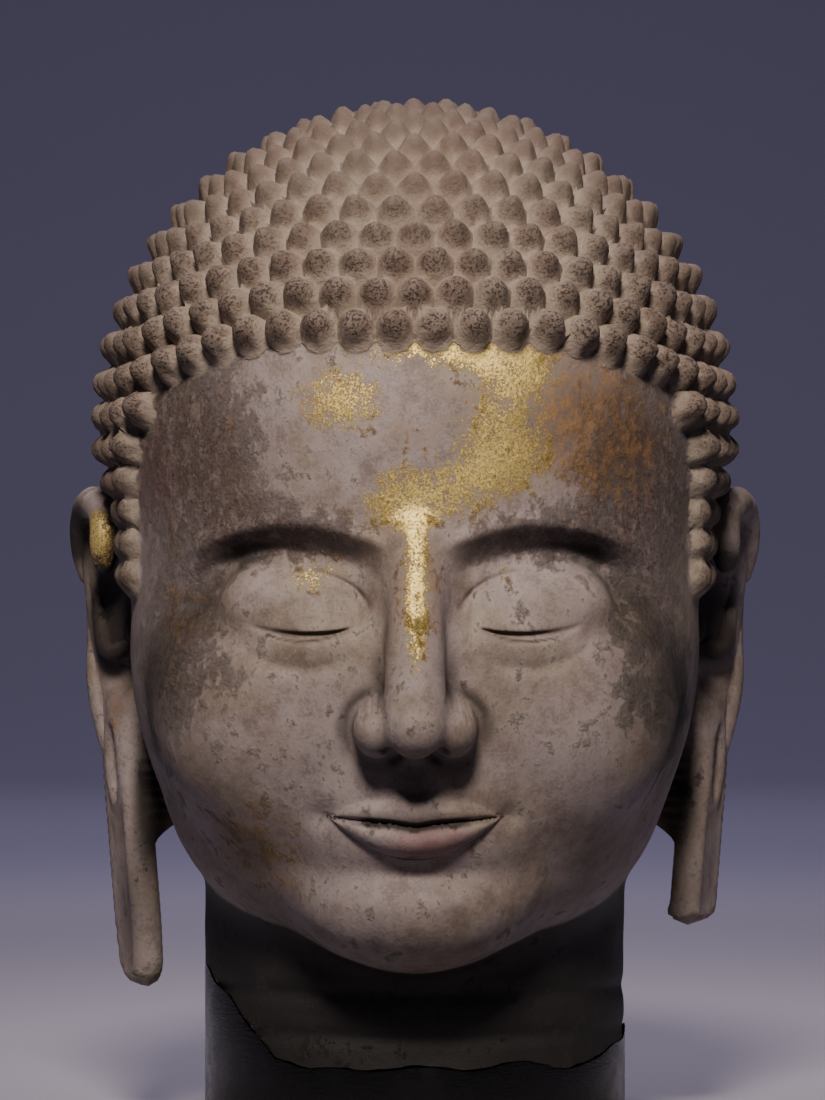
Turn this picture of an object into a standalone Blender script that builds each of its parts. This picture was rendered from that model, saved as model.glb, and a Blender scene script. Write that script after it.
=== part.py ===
"""A carved stone head with rows of snail-shell curls and long ears, broken off at the neck, on a black
stand that is shaped to the break.

The face looks along -Y and +Z is up. The origin is the centre of the stand's underside. The carving is
worked out in modules, each a hundredth of the head's height, from the middle of the neck at the lowest
point of its break.
"""

import math

import bmesh
import bpy
import numpy as np
from mathutils import Vector
from mathutils.geometry import delaunay_2d_cdt

# Driving dimensions, in metres
HEAD_HEIGHT = 0.500  # from the lowest point of the broken neck to the topmost curl's tip
CURL_PITCH = 0.0190  # between the feet of two curls in a row
CURL_HEIGHT = 0.0155
STAND_HEIGHT = 0.030  # under the lowest point of the break
STAND_PROUD = 0.0005  # how far the stand's side stands out from the neck
STAND_CHAMFER = 0.002
SEAT_GAP = 0.0003  # between the stone's break and the stand

MODULE = HEAD_HEIGHT / 100.0
SEAT_Z = STAND_HEIGHT + SEAT_GAP  # the lowest point of the stone

# The head's main masses, in modules: centre, then half-sizes
CRANIUM = ((0.0, 0.5, 66.0), (30.9, 34.0, 30.9))
LOWER_FACE = ((0.0, -4.5, 43.0), (29.3, 28.5, 32.5))
JAW = ((0.0, -7.0, 27.0), (24.0, 21.5, 16.5))
CHIN = ((0.0, -22.0, 17.6), (11.0, 8.9, 6.8))
CHEEK = ((15.0, -21.0, 36.0), (10.5, 8.2, 10.5))
MUZZLE = ((0.0, -25.4, 27.0), (11.0, 5.8, 8.0))
EYEBALL = ((11.6, -25.2, 46.9), (8.4, 5.5, 5.9))
NECK_CENTRE_Y = 3.5
NECK_HALF = (21.8, 21.0)  # across and from front to back
NECK_FOLDS = (7.5, 3.2)  # heights of its two shallow folds at the front

# The face, in thirds from the hairline to the chin, with an eye as the unit across
HAIRLINE_Z = 74.2
BROW_Z = 55.2
EYE_Z = 45.6
NOSE_Z = 35.6
MOUTH_Z = 25.7
EYE_X = 11.6
EYE_HALF = 5.8
MOUTH_HALF = 8.7

# The hairline round the face and behind the ears
FACE_ANGLE = math.radians(69.0)
HAIRLINE_FOOT_Z = 50.0
HAIRLINE_POWER = 3.0
SIDEBURN_Z = 47.4
EAR_ZONE = (math.radians(88.0), math.radians(108.0))
EAR_ZONE_Z = 57.5
NAPE_Z = 27.0
FIRST_ROW_ANGLE = math.radians(16.5)  # the first whole row above the hairline
ROW_DROOP = 5.2  # how much lower that row runs at the temples and the back

# The break, in modules: it climbs on the head's right side and a little on its left
BREAK_CLIMB = (14.5, 22.3, 9.4)  # from, to and how far up
BREAK_LEFT_CLIMB = (18.5, 22.3, 2.6)
BREAK_RIPPLE = 0.45
BREAK_RINGS = (0.0, 0.42, 0.74, 0.9)  # as shares of the neck's section
BREAK_SIDES = 32

# The long ears, in modules: half their width over their height, from the lobe's end to the top
EAR_HEIGHTS = (7.0, 7.7, 9.5, 14.0, 24.0, 36.0, 41.0, 46.0, 51.0, 55.0, 57.6, 58.7)
EAR_HALF_WIDTHS = (0.4, 2.1, 3.2, 3.7, 3.7, 3.9, 4.7, 5.8, 6.3, 5.7, 3.6, 1.0)
EAR_FLARE = math.radians(22.0)
EAR_THICK = 1.6  # half of a lobe's thickness
EAR_TOP = (32.4, 8.0, 57.0)
EAR_FOOT = (28.3, 4.0, 8.0)
EAR_BROKEN_Z = 14.0  # the lobe of the head's left ear ends here

# Spacing of the carved surface's points, in modules
PLAIN_SPACING = 3.1
FINE_SPACING = 1.2
RIM_POINTS = 36

STONE = ("carved_stone", (0.235, 0.190, 0.165, 1.0), 0.85)
BLACK_LACQUER = ("black_lacquer", (0.010, 0.010, 0.011, 1.0), 0.45)

AXIS_HALF = (CRANIUM[1][0], CRANIUM[1][1])  # the ellipse that the carving's rays fan over
DOME_Z = CRANIUM[0][2]
DOME_HEIGHT = CRANIUM[1][2]


def clear_scene():
    for item in list(bpy.data.objects):
        bpy.data.objects.remove(item, do_unlink=True)


def material(name, colour, roughness):
    made = bpy.data.materials.new(name)
    made.use_nodes = True
    shader = made.node_tree.nodes["Principled BSDF"]
    shader.inputs["Base Color"].default_value = colour
    shader.inputs["Roughness"].default_value = roughness
    return made


# Solid forms, as distances in modules from an array of points


def ellipsoid(points, centre, half):
    offset = (points - np.array(centre)) / np.array(half)
    near = np.linalg.norm(offset, axis=1)
    steep = np.linalg.norm(offset / np.array(half), axis=1)
    return near * (near - 1.0) / np.maximum(steep, 1e-9)


def tapered_rod(points, start, end, start_radius, end_radius):
    start, end = np.array(start), np.array(end)
    along = end - start
    share = np.clip((points - start) @ along / (along @ along), 0.0, 1.0)
    nearest = start + share[:, None] * along
    radius = start_radius + share * (end_radius - start_radius)
    return np.linalg.norm(points - nearest, axis=1) - radius


def joined(a, b, reach):
    """The union of two forms, with a fillet of about this reach."""
    share = np.clip(0.5 + 0.5 * (b - a) / reach, 0.0, 1.0)
    return b + (a - b) * share - reach * share * (1.0 - share)


def carved(a, b, reach):
    """Form a without form b."""
    return -joined(-a, b, reach)


def rise(value, start, end):
    """0 before start and 1 after end, smoothly."""
    share = np.clip((value - start) / (end - start), 0.0, 1.0)
    return share * share * (3.0 - 2.0 * share)


def bump(value, width):
    return np.exp(-((value / width) ** 2))


# The face's own lines, as heights over the distance from the middle, in modules


def brow_line(x):
    return BROW_Z - 4.4 * ((x - EYE_X - 0.9) / 12.5) ** 2


def eye_share(x):
    return (x - EYE_X) / EYE_HALF


def upper_lid_line(x):
    return EYE_Z - 0.95 + 0.95 * eye_share(x) ** 2 + 0.35 * eye_share(x)


def lower_lid_line(x):
    return EYE_Z - 1.85 + 1.85 * eye_share(x) ** 2 + 0.35 * eye_share(x)


def mouth_line(x):
    return MOUTH_Z + 0.010 * x**2 - 0.30 * bump(x, 1.6)


def upper_lip_line(x):
    return MOUTH_Z + 2.75 + 0.35 * bump(x - 1.7, 1.1) - 0.35 * bump(x, 0.9) - 0.0285 * x**2


def lower_lip_line(x):
    return MOUTH_Z - 3.5 + 0.0565 * x**2


def lip_swell(z, x, low, high, fullness):
    across = np.clip(1.0 - (x / (MOUTH_HALF + 0.3)) ** 2, 0.0, 1.0)
    share = np.clip((z - low) / np.maximum(high - low, 0.05), 0.0, 1.0)
    return fullness * across**0.6 * np.sin(math.pi * share) ** 0.75


def face_relief(points):
    """How far the carver raised the face's surface, or cut it back, over its main masses."""
    x, y, z = np.abs(points[:, 0]), points[:, 1], points[:, 2]
    front = rise(-y, 10.0, 20.0)
    under_brow = rise(brow_line(x) - z, -0.3, 2.2) * rise(z, 42.5, 48.5)
    socket = -2.0 * under_brow * rise(x, 2.4, 6.0) * (1.0 - rise(x, 17.0, 25.0))
    ridge = 0.35 * bump(z - brow_line(x) - 0.7, 1.1) * rise(x, 1.0, 5.0) * (1.0 - rise(x, 18.0, 26.0))
    within = np.clip(1.0 - eye_share(x) ** 2, 0.0, 1.0)
    lid = 0.55 * rise(z - upper_lid_line(x), -0.15, 0.25) * bump(z - upper_lid_line(x) - 1.2, 2.6)
    lower_lid = 0.30 * rise(lower_lid_line(x) - z, -0.15, 0.25) * bump(lower_lid_line(x) - z, 1.5)
    opening = -0.45 * rise(upper_lid_line(x) - z, -0.1, 0.15) * rise(z - lower_lid_line(x), -0.1, 0.15)
    eye = (lid + lower_lid + opening) * within**0.5
    philtrum = -0.45 * bump(x, 1.1) + 0.2 * bump(x - 2.0, 0.9)
    philtrum = philtrum * rise(z, 28.0, 29.2) * (1.0 - rise(z, 31.4, 32.8))
    lips = lip_swell(z, x, mouth_line(x), upper_lip_line(x), 1.25)
    lips = lips + lip_swell(z, x, lower_lip_line(x), mouth_line(x), 1.65)
    mouth_cut = -0.55 * bump(z - mouth_line(x), 0.38) * (1.0 - rise(x, MOUTH_HALF - 0.6, MOUTH_HALF + 0.8))
    corner = -0.85 * bump(x - MOUTH_HALF - 0.5, 1.3) * bump(z - mouth_line(MOUTH_HALF) - 0.1, 1.3)
    under_lip = -0.9 * bump(z - MOUTH_Z + 5.0, 1.7) * bump(x, 7.5)
    return front * (socket + ridge + eye + philtrum + lips + mouth_cut + corner + under_lip)


def head_distance(points):
    """The distance from the head's surface under the curls, without the ears."""
    paired = np.column_stack((np.abs(points[:, 0]), points[:, 1:]))
    x, y, z = points.T
    neck = (np.hypot(x / NECK_HALF[0], (y - NECK_CENTRE_Y) / NECK_HALF[1]) - 1.0) * NECK_HALF[1]
    for fold in NECK_FOLDS:
        neck = neck + 0.35 * bump(z - fold + 0.02 * (y - NECK_CENTRE_Y), 0.8) * rise(-y, -12.0, 4.0)
    neck = np.maximum(neck, z - HAIRLINE_FOOT_Z)
    form = joined(ellipsoid(points, *CRANIUM), ellipsoid(points, *LOWER_FACE), 6.0)
    form = joined(form, ellipsoid(points, *JAW), 3.0)
    form = joined(form, neck, 3.0)
    form = joined(form, ellipsoid(points, *CHIN), 5.0)
    form = joined(form, ellipsoid(paired, *CHEEK), 6.0)
    form = joined(form, ellipsoid(points, *MUZZLE), 3.0)
    form = form - face_relief(points)
    form = joined(form, ellipsoid(paired, *EYEBALL) + 0.4, 1.6)
    bridge = tapered_rod(points, (0.0, -31.6, 53.5), (0.0, -36.9, NOSE_Z), 2.4, 3.2)
    wing = ellipsoid(paired, (3.7, -33.9, NOSE_Z - 0.6), (2.4, 3.4, 2.6))
    nose = joined(bridge, wing, 1.6)
    form = joined(form, nose, 2.2)
    nostril = ellipsoid(paired, (2.3, -36.0, NOSE_Z - 3.6), (1.2, 2.1, 1.7))
    return carved(form, nostril, 0.5)


# The carving's own coordinates: an angle round the head and a run from the crown to the neck


def run_table():
    """Runs from the crown down a reference outline, with each one's radius, height and ray slope."""
    dome = np.radians(np.linspace(90.0, 0.0, 181))
    radius = list(DOME_HEIGHT * np.cos(dome))
    height = list(DOME_Z + DOME_HEIGHT * np.sin(dome))
    slope = list(dome)
    side_z = np.linspace(DOME_Z, -6.0, 146)[1:]
    radius += list(np.interp(side_z, (-6.0, 10.0, 25.0, 45.0, DOME_Z), (22.0, 22.0, 25.0, 29.0, DOME_HEIGHT)))
    height += list(side_z)
    slope += list(-math.radians(30.0) * (1.0 - rise(side_z, 33.0, 58.0)))
    radius, height, slope = np.array(radius), np.array(height), np.array(slope)
    steps = np.hypot(np.diff(radius), np.diff(height))
    run = np.concatenate(([0.0], np.cumsum(steps)))
    return run, radius, height, slope


RUN, RUN_RADIUS, RUN_HEIGHT, RUN_SLOPE = run_table()
RUN_ORIGIN = np.where(RUN_SLOPE > 0.0, DOME_Z, RUN_HEIGHT - RUN_RADIUS * np.tan(np.minimum(RUN_SLOPE, 0.0)))
EQUATOR_RUN = RUN[180]
# A flat chart that keeps angles: the logarithm of its radius grows with run over radius
CHART_START = 1.0
CHART_LOG = np.concatenate(
    ([0.0], np.cumsum(np.diff(RUN)[1:] / (0.5 * (RUN_RADIUS[1:-1] + RUN_RADIUS[2:]))))
)


def chart_of(angle, run):
    """Chart coordinates of places on the head. The crown is at the chart's centre."""
    radius = np.exp(np.interp(run, RUN[1:], CHART_LOG)) * np.clip(run / RUN[1], 0.0, 1.0)
    return np.stack((radius * np.sin(angle), -radius * np.cos(angle)), axis=1)


def surface_at(angle, run):
    """Points on the head's surface, found along rays from its axis."""
    slope = np.interp(run, RUN, RUN_SLOPE)
    start = np.zeros((len(run), 3))
    start[:, 2] = np.interp(run, RUN, RUN_ORIGIN)
    ray = np.stack(
        (
            AXIS_HALF[0] * np.sin(angle) * np.cos(slope),
            -AXIS_HALF[1] * np.cos(angle) * np.cos(slope),
            DOME_HEIGHT * np.sin(slope),
        ),
        axis=1,
    )
    ray = ray / np.linalg.norm(ray, axis=1)[:, None]
    travel = np.full(len(run), 62.0)
    for _ in range(60):
        travel = travel - 0.8 * head_distance(start + travel[:, None] * ray)
    return start + travel[:, None] * ray


def front_surface_at(x, z):
    """Points on the face under places of the front view."""
    points = np.stack((x, np.full(len(x), -60.0), z), axis=1)
    for _ in range(60):
        points[:, 1] += 0.8 * head_distance(points)
    return points


def place_of(points):
    """The angle and run whose ray passes through each point."""
    x, y, z = points.T
    angle = np.arctan2(x / AXIS_HALF[0], -y / AXIS_HALF[1])
    share = np.hypot(x / AXIS_HALF[0], y / AXIS_HALF[1])
    lift = z - DOME_Z
    dome_run = DOME_HEIGHT * (math.pi / 2 - np.arctan2(lift, share * DOME_HEIGHT))
    low, high = np.full(len(x), EQUATOR_RUN), np.full(len(x), RUN[-1])
    for _ in range(40):
        middle = 0.5 * (low + high)
        height = np.interp(middle, RUN, RUN_ORIGIN)
        height = height + share * DOME_HEIGHT * np.tan(np.interp(middle, RUN, RUN_SLOPE))
        low = np.where(height > z, middle, low)
        high = np.where(height > z, high, middle)
    return angle, np.where(lift > 0.0, dome_run, low)


# The curls


def hairline_height(angle):
    """The height below which there is no hair, over the angle from the front."""
    angle = np.abs(angle)
    share = np.clip(angle / FACE_ANGLE, 0.0, 1.0)
    arch = (1.0 - share**HAIRLINE_POWER) ** (1.0 / HAIRLINE_POWER)
    brow = HAIRLINE_FOOT_Z + (HAIRLINE_Z - HAIRLINE_FOOT_Z) * arch
    behind = np.where(angle < EAR_ZONE[0], SIDEBURN_Z, np.where(angle < EAR_ZONE[1], EAR_ZONE_Z, NAPE_Z))
    return np.where(angle < FACE_ANGLE, brow, behind)


def row_run(run, angle):
    """The run of a row over the angle. It droops towards the temples, less so near the crown."""
    first = DOME_HEIGHT * (math.pi / 2 - FIRST_ROW_ANGLE)
    return run + ROW_DROOP * min(run / first, 1.0) * rise(np.abs(angle), 0.38, 1.31)


def curl_rows(pitch):
    """The angle and run of each curl's foot, in rows with every other row shifted half a pitch."""
    row_step = pitch * math.sqrt(3.0) / 2.0
    first = DOME_HEIGHT * (math.pi / 2 - FIRST_ROW_ANGLE)
    above = int((first - 0.35 * row_step) / row_step)
    runs = first + row_step * np.arange(-above, 40)
    runs = runs[runs < RUN[-1]]
    angles = np.radians(np.arange(-180.0, 180.0, 0.5))
    found = []
    for number, run in enumerate(runs):
        ring = surface_at(angles, row_run(run, angles))
        if ring[0, 2] < NAPE_Z:
            break
        around = np.append(angles, math.pi)
        steps = np.linalg.norm(np.diff(np.vstack((ring, ring[:1])), axis=0), axis=1)
        length = np.concatenate(([0.0], np.cumsum(steps)))
        free = np.append(ring[:, 2] > hairline_height(angles), True)
        if free.all():
            count = max(3, round(length[-1] / pitch))
            shift = 0.5 * (number % 2)
            wanted = (np.arange(count) + shift) * length[-1] / count
            middle = np.interp(0.0, around, length)
            wanted = np.mod(wanted + middle, length[-1])
            found.append((np.interp(wanted, length, around), run))
            continue
        edges = np.flatnonzero(np.diff(free.astype(int)))
        bounds = [0, *edges, len(free) - 1]
        starts_free = free[0]
        arcs = [(a, b) for i, (a, b) in enumerate(zip(bounds, bounds[1:])) if (i % 2 == 0) == starts_free]
        if starts_free:
            # The two arcs that meet at the back of the head are one
            first_arc, last_arc = arcs[0], arcs[-1]
            arcs = arcs[1:-1]
            span = length[-1] - length[last_arc[0]] + length[first_arc[1]]
            count = max(1, round(span / pitch))
            wanted = length[last_arc[0]] + (np.arange(count) + 0.5) * span / count
            wanted = np.mod(wanted, length[-1])
            found.append((np.interp(wanted, length, around), run))
        for a, b in arcs:
            span = length[b] - length[a]
            count = round(span / pitch)
            if count:
                wanted = length[a] + (np.arange(count) + 0.5) * span / count
                found.append((np.interp(wanted, length, around), run))
    angle = np.concatenate([a for a, _ in found])
    run = np.concatenate([row_run(r, a) for a, r in found])
    return angle, run


def curl_edges(angle, run, feet, pitch):
    """Places round the outermost curls' feet, where the hair meets bare stone."""
    reach = 0.577 * pitch
    kept = []
    for turn in np.radians(np.arange(0.0, 360.0, 30.0)):
        away = reach * math.cos(turn) / np.maximum(np.interp(run, RUN, RUN_RADIUS), 3.0)
        place = (angle + away, run + reach * math.sin(turn))
        points = surface_at(*place)
        gaps = np.linalg.norm(points[:, None, :] - feet[None, :, :], axis=2)
        outside = (np.sort(gaps, axis=1)[:, 2] > 0.86 * pitch) & (gaps.min(axis=1) > 0.53 * pitch)
        for a, r, point in zip(place[0][outside], place[1][outside], points[outside]):
            if all(np.linalg.norm(point - other) > 0.42 * pitch for _, _, other in kept):
                kept.append((a, r, point))
    return np.array([a for a, _, _ in kept]), np.array([r for _, r, _ in kept])


def bare_grid(spacing):
    """Places in level rows all over the head below its crown."""
    angles, runs = [], []
    for number, run in enumerate(np.arange(0.5 * EQUATOR_RUN, RUN[-1] - 0.6 * spacing, spacing * 0.866)):
        count = max(6, round(2.0 * math.pi * np.interp(run, RUN, RUN_RADIUS) / spacing))
        around = (np.arange(count) + 0.5 * (number % 2)) / count * 2.0 * math.pi - math.pi
        angles.append(around)
        runs.append(np.full(count, run))
    return np.concatenate(angles), np.concatenate(runs)


def feature_lines(spacing):
    """Points along the lines that a carver cuts first: brows, lids, nose and lips."""
    brow_x = np.linspace(4.5, 24.0, round(19.5 / spacing))
    eye_x = np.linspace(EYE_X - EYE_HALF, EYE_X + EYE_HALF, round(2.0 * EYE_HALF / spacing) + 1)
    lip_x = np.linspace(0.0, MOUTH_HALF, round(MOUTH_HALF / spacing) + 1)
    wanted = [
        np.stack((brow_x, brow_line(brow_x) + 0.5), axis=1),
        np.stack((brow_x[1:-1], brow_line(brow_x[1:-1]) - 1.7), axis=1),
        np.stack((eye_x, upper_lid_line(eye_x) + 0.25), axis=1),
        np.stack((eye_x[1:-1], upper_lid_line(eye_x[1:-1]) - 0.2), axis=1),
        np.stack((eye_x[1:-1], lower_lid_line(eye_x[1:-1]) - 0.25), axis=1),
        np.stack((lip_x, mouth_line(lip_x)), axis=1),
        np.stack((lip_x[:-1], mouth_line(lip_x[:-1]) + 0.62), axis=1),
        np.stack((lip_x[:-1], mouth_line(lip_x[:-1]) - 0.62), axis=1),
        np.stack((lip_x[:-1], upper_lip_line(lip_x[:-1])), axis=1),
        np.stack((lip_x[:-1], lower_lip_line(lip_x[:-1])), axis=1),
    ]
    height = np.arange(NOSE_Z, BROW_Z - 1.5, spacing)
    for inner, outer in ((0.0, 0.0), (1.5, 1.9), (3.3, 4.2)):
        wanted.append(np.stack((np.interp(height, (NOSE_Z, BROW_Z), (outer, inner)), height), axis=1))
    turn = np.radians(np.arange(-150.0, 90.0, 30.0))
    wanted.append(np.stack((3.7 + 2.5 * np.cos(turn), NOSE_Z - 0.6 + 2.7 * np.sin(turn)), axis=1))
    found = np.zeros((0, 3))
    for line in wanted:
        sides = np.concatenate((line, line * (-1.0, 1.0)))
        for point in front_surface_at(sides[:, 0], sides[:, 1]):
            if kept_apart(point[None], 0.42, found).all():
                found = np.vstack((found, point))
    return found


def in_fine_zone(points):
    """Whether points lie round the eyes, the nose or the mouth."""
    x, y, z = np.abs(points[:, 0]), points[:, 1], points[:, 2]
    eye = np.hypot((x - EYE_X) / 8.4, (z - EYE_Z - 0.8) / 5.4) < 1.0
    nose = (x < np.interp(z, (NOSE_Z + 1.0, NOSE_Z + 4.0), (7.6, 4.8))) & (z > NOSE_Z - 5.5) & (z < BROW_Z)
    mouth = np.hypot(x / 10.5, (z - MOUTH_Z) / 5.5) < 1.0
    return (eye | nose | mouth) & (y < 0.0)


def kept_apart(places, apart, taken):
    """The places whose surface points are at least this far from those already taken."""
    offsets = places[:, None, :] - taken[None, :, :]
    return (np.linalg.norm(offsets, axis=2) > apart).all(axis=1)


def carving_points(pitch):
    """Curl feet, then every other point that the carved surface is drawn through, as angle and run."""
    curl_angle, curl_run = curl_rows(pitch)
    curl_feet = surface_at(curl_angle, curl_run)
    edge_angle, edge_run = curl_edges(curl_angle, curl_run, curl_feet, pitch)
    edge_points = surface_at(edge_angle, edge_run)
    line_points = feature_lines(FINE_SPACING)
    line_angle, line_run = place_of(line_points)
    parts = [(curl_angle, curl_run), (edge_angle, edge_run), (line_angle, line_run)]
    for spacing, fine in ((FINE_SPACING, True), (PLAIN_SPACING, False)):
        angle, run = bare_grid(spacing)
        points = surface_at(angle, run)
        keep = in_fine_zone(points) == fine
        keep &= points[:, 2] < hairline_height(angle) + 0.5 * pitch
        angle, run, points = angle[keep], run[keep], points[keep]
        keep = kept_apart(points, 0.9 * pitch, curl_feet)
        keep &= kept_apart(points, 0.5 * pitch, edge_points)
        keep &= kept_apart(points, 0.6 * FINE_SPACING, line_points)
        parts.append((angle[keep], run[keep]))
    rim = (np.arange(RIM_POINTS) / RIM_POINTS) * 2.0 * math.pi - math.pi
    parts.append((rim, np.full(RIM_POINTS, RUN[-1])))
    angle = np.concatenate([a for a, _ in parts])
    run = np.concatenate([r for _, r in parts])
    return angle, run, len(curl_angle)


def curl_triangles(triangles, curls, chart):
    """Turns the triangles between curls into steep six-sided points with valleys round them.

    Returns the triangles and the chart places of the valleys."""
    valleys, valley_of = [], {}

    def add_valley(key, corners):
        if key not in valley_of:
            valley_of[key] = len(chart) + len(valleys)
            valleys.append(chart[list(corners)].mean(axis=0))
        return valley_of[key]

    all_hair = {triangle for triangle in triangles if max(triangle) < curls}
    beside = {}
    for triangle in triangles:
        for a, b in zip(triangle, triangle[1:] + triangle[:1]):
            beside[a, b] = triangle
    made = []
    for (a, b), triangle in beside.items():
        if triangle not in all_hair:
            continue
        middle = add_valley(triangle, triangle)
        other = beside.get((b, a))
        if other in all_hair:
            made.append((a, add_valley(other, other), middle))
        else:
            between = add_valley(frozenset((a, b)), (a, b))
            made += [(a, between, middle), (between, b, middle)]
    for triangle in triangles:
        if triangle in all_hair:
            continue
        ring = []
        for a, b in zip(triangle, triangle[1:] + triangle[:1]):
            ring.append(a)
            if max(a, b) < curls:
                ring.append(add_valley(frozenset((a, b)), (a, b)))
        if len(ring) == 3:
            made.append(tuple(ring))
        elif len(ring) == 4:
            at = next(i for i in range(4) if ring[i] >= len(chart))
            ring = ring[at:] + ring[:at]
            made += [(ring[0], ring[1], ring[2]), (ring[0], ring[2], ring[3])]
    return made, np.array(valleys)


def place_on_chart(chart):
    """The angle and run of chart coordinates."""
    radius = np.linalg.norm(chart, axis=1)
    run = np.where(
        radius > 1.0, np.interp(np.log(np.maximum(radius, 1.0)), CHART_LOG, RUN[1:]), radius * RUN[1]
    )
    return np.arctan2(chart[:, 0], -chart[:, 1]), run


def to_metres(points):
    return points * MODULE + np.array((0.0, -NECK_CENTRE_Y * MODULE, SEAT_Z))


def head_mesh():
    """The head with its curls, as points in modules and triangles. It has no ears yet."""
    pitch = CURL_PITCH / MODULE
    angle, run, curls = carving_points(pitch)
    chart = chart_of(angle, run)
    laid = delaunay_2d_cdt([Vector(c) for c in chart], [], [], 0, 1e-6)
    if len(laid[0]) != len(chart):
        raise ValueError("two points of the carving's chart fell together")
    source = [ids[0] for ids in laid[3]]
    triangles = [tuple(source[i] for i in face) for face in laid[2]]
    triangles, valleys = curl_triangles(triangles, curls, chart)
    valley_angle, valley_run = place_on_chart(valleys)
    points = surface_at(np.concatenate((angle, valley_angle)), np.concatenate((run, valley_run)))
    tips = points[:curls]
    points[:curls] = tips + outward(tips) * (CURL_HEIGHT / MODULE)
    return points, triangles


def outward(points):
    """The surface's outward direction, from how the distance grows."""
    reach = 0.05
    steps = np.eye(3) * reach
    grown = [head_distance(points + step) - head_distance(points - step) for step in steps]
    grown = np.stack(grown, axis=1)
    return grown / np.linalg.norm(grown, axis=1)[:, None]


def ear_half_width(height):
    return np.interp(height, EAR_HEIGHTS, EAR_HALF_WIDTHS)


def ear_relief(back, height):
    """How high an ear's outer face is carved, over the distance back from its middle line and the height."""
    edge = ear_half_width(height) - np.abs(back - 0.6 * rise(height, 40.0, 50.0))
    high = rise(height, 38.0, 44.0)
    rim = 1.9 * bump(edge - 1.0, 1.2) * rise(height, 30.0, 40.0)
    shell = -2.5 * bump(np.hypot((back + 0.6) / 2.6, (height - 46.5) / 4.4), 1.0) * high
    fold = 0.7 * bump(np.hypot((back - 0.5) / 4.2, (height - 47.0) / 6.6) - 0.85, 0.25) * high
    slit = -1.5 * bump(np.hypot(back / 1.1, (height - 30.5) / 3.4), 1.0)
    return rim + shell + fold + slit


def ear_mesh(side, lowest):
    """A long ear as points in modules and triangles. Its lobe ends at the lowest height."""
    outline_z = np.concatenate((np.arange(lowest + 2.4, 56.0, 3.1), (57.6, 58.5)))
    front = np.stack((-ear_half_width(outline_z), outline_z), axis=1)
    back = np.stack((ear_half_width(outline_z), outline_z), axis=1)[::-1]
    end_half = ear_half_width(lowest + 1.0) - 0.9
    end = np.array(((end_half, lowest + 0.3), (0.0, lowest), (-end_half, lowest + 0.3)))
    outline = np.vstack((front, back, end))
    ahead, behind = np.roll(outline, -1, axis=0), np.roll(outline, 1, axis=0)
    inward = (ahead - behind)[:, ::-1] * (1.0, -1.0)
    inward = inward / np.linalg.norm(inward, axis=1)[:, None]
    ring = outline + 1.05 * inward
    within = []
    for row, height in enumerate(np.arange(lowest + 3.2, 57.0, 2.9)):
        half = ear_half_width(height) - 2.6
        count = max(1, round(2.0 * half / 2.2))
        spread = (np.arange(count) + 0.5 - count / 2.0) * 2.0 * half / count + 0.3 * (row % 2)
        within += [(offset, height) for offset in spread]
    flat = np.vstack((outline, ring, np.array(within)))
    edges = [(i, (i + 1) % len(outline)) for i in range(len(outline))]
    laid = delaunay_2d_cdt([Vector(f) for f in flat], edges, [], 1, 1e-6)
    triangles = [tuple(laid[3][i][0] for i in face) for face in laid[2]]
    rim = len(outline)
    half_thick = np.where(np.arange(len(flat)) < rim, 0.0, EAR_THICK)
    half_thick = half_thick * np.where(np.arange(len(flat)) < 2 * rim, 0.86, 1.0)
    # The ear's own frame: back along its width, and out from the head
    share = (flat[:, 1] - EAR_FOOT[2]) / (EAR_TOP[2] - EAR_FOOT[2])
    middle = np.array(EAR_FOOT)[None, :2] + share[:, None] * (np.array(EAR_TOP) - np.array(EAR_FOOT))[:2]
    back_way = np.array((math.sin(EAR_FLARE), math.cos(EAR_FLARE)))
    out_way = np.array((math.cos(EAR_FLARE), -math.sin(EAR_FLARE)))
    base = middle + flat[:, :1] * back_way
    # The front of the ear bends in to meet the head
    bend = 2.4 * rise(-flat[:, 0], 0.5, 6.0) * rise(flat[:, 1], 30.0, 42.0)
    base = base - bend[:, None] * out_way
    outer = half_thick + np.where(half_thick > 0, ear_relief(flat[:, 0], flat[:, 1]), 0.0)
    outer_points = np.column_stack((base + outer[:, None] * out_way, flat[:, 1]))
    inner_points = np.column_stack((base - half_thick[:, None] * out_way, flat[:, 1]))
    root = rise(-flat[:, 0], -1.5, 0.8) * rise(flat[:, 1], 22.0, 27.0) * (half_thick > 0)
    depth = root * (np.maximum(head_distance(inner_points), 0.0) * 1.15 + 1.6)
    inner_points[:, :2] -= depth[:, None] * out_way
    points = np.vstack((outer_points, inner_points[rim:]))
    points[:, 0] *= side
    lower = {i: i if i < rim else i + len(flat) - rim for i in range(len(flat))}
    faces = triangles + [tuple(lower[i] for i in reversed(face)) for face in triangles]
    return points, faces


def break_height(x, y):
    """The height of the neck's break."""
    start, end, climb = BREAK_CLIMB
    left_start, left_end, left_climb = BREAK_LEFT_CLIMB
    side = climb * np.clip((-x - start) / (end - start), 0.0, 1.0) ** 0.85
    side = side + left_climb * rise(x, left_start, left_end)
    ripple = np.sin(0.52 * x + 0.31 * y + 0.6) + 0.7 * np.sin(0.83 * y - 0.37 * x) + 1.1
    return side + BREAK_RIPPLE * ripple * 0.9


def neck_ring(share):
    """Points of the neck's section, shrunk to a share of it."""
    turn = (np.arange(BREAK_SIDES) + 0.5) / BREAK_SIDES * 2.0 * math.pi
    x = share * NECK_HALF[0] * np.cos(turn)
    y = share * NECK_HALF[1] * np.sin(turn) + NECK_CENTRE_Y
    return x, y


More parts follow.
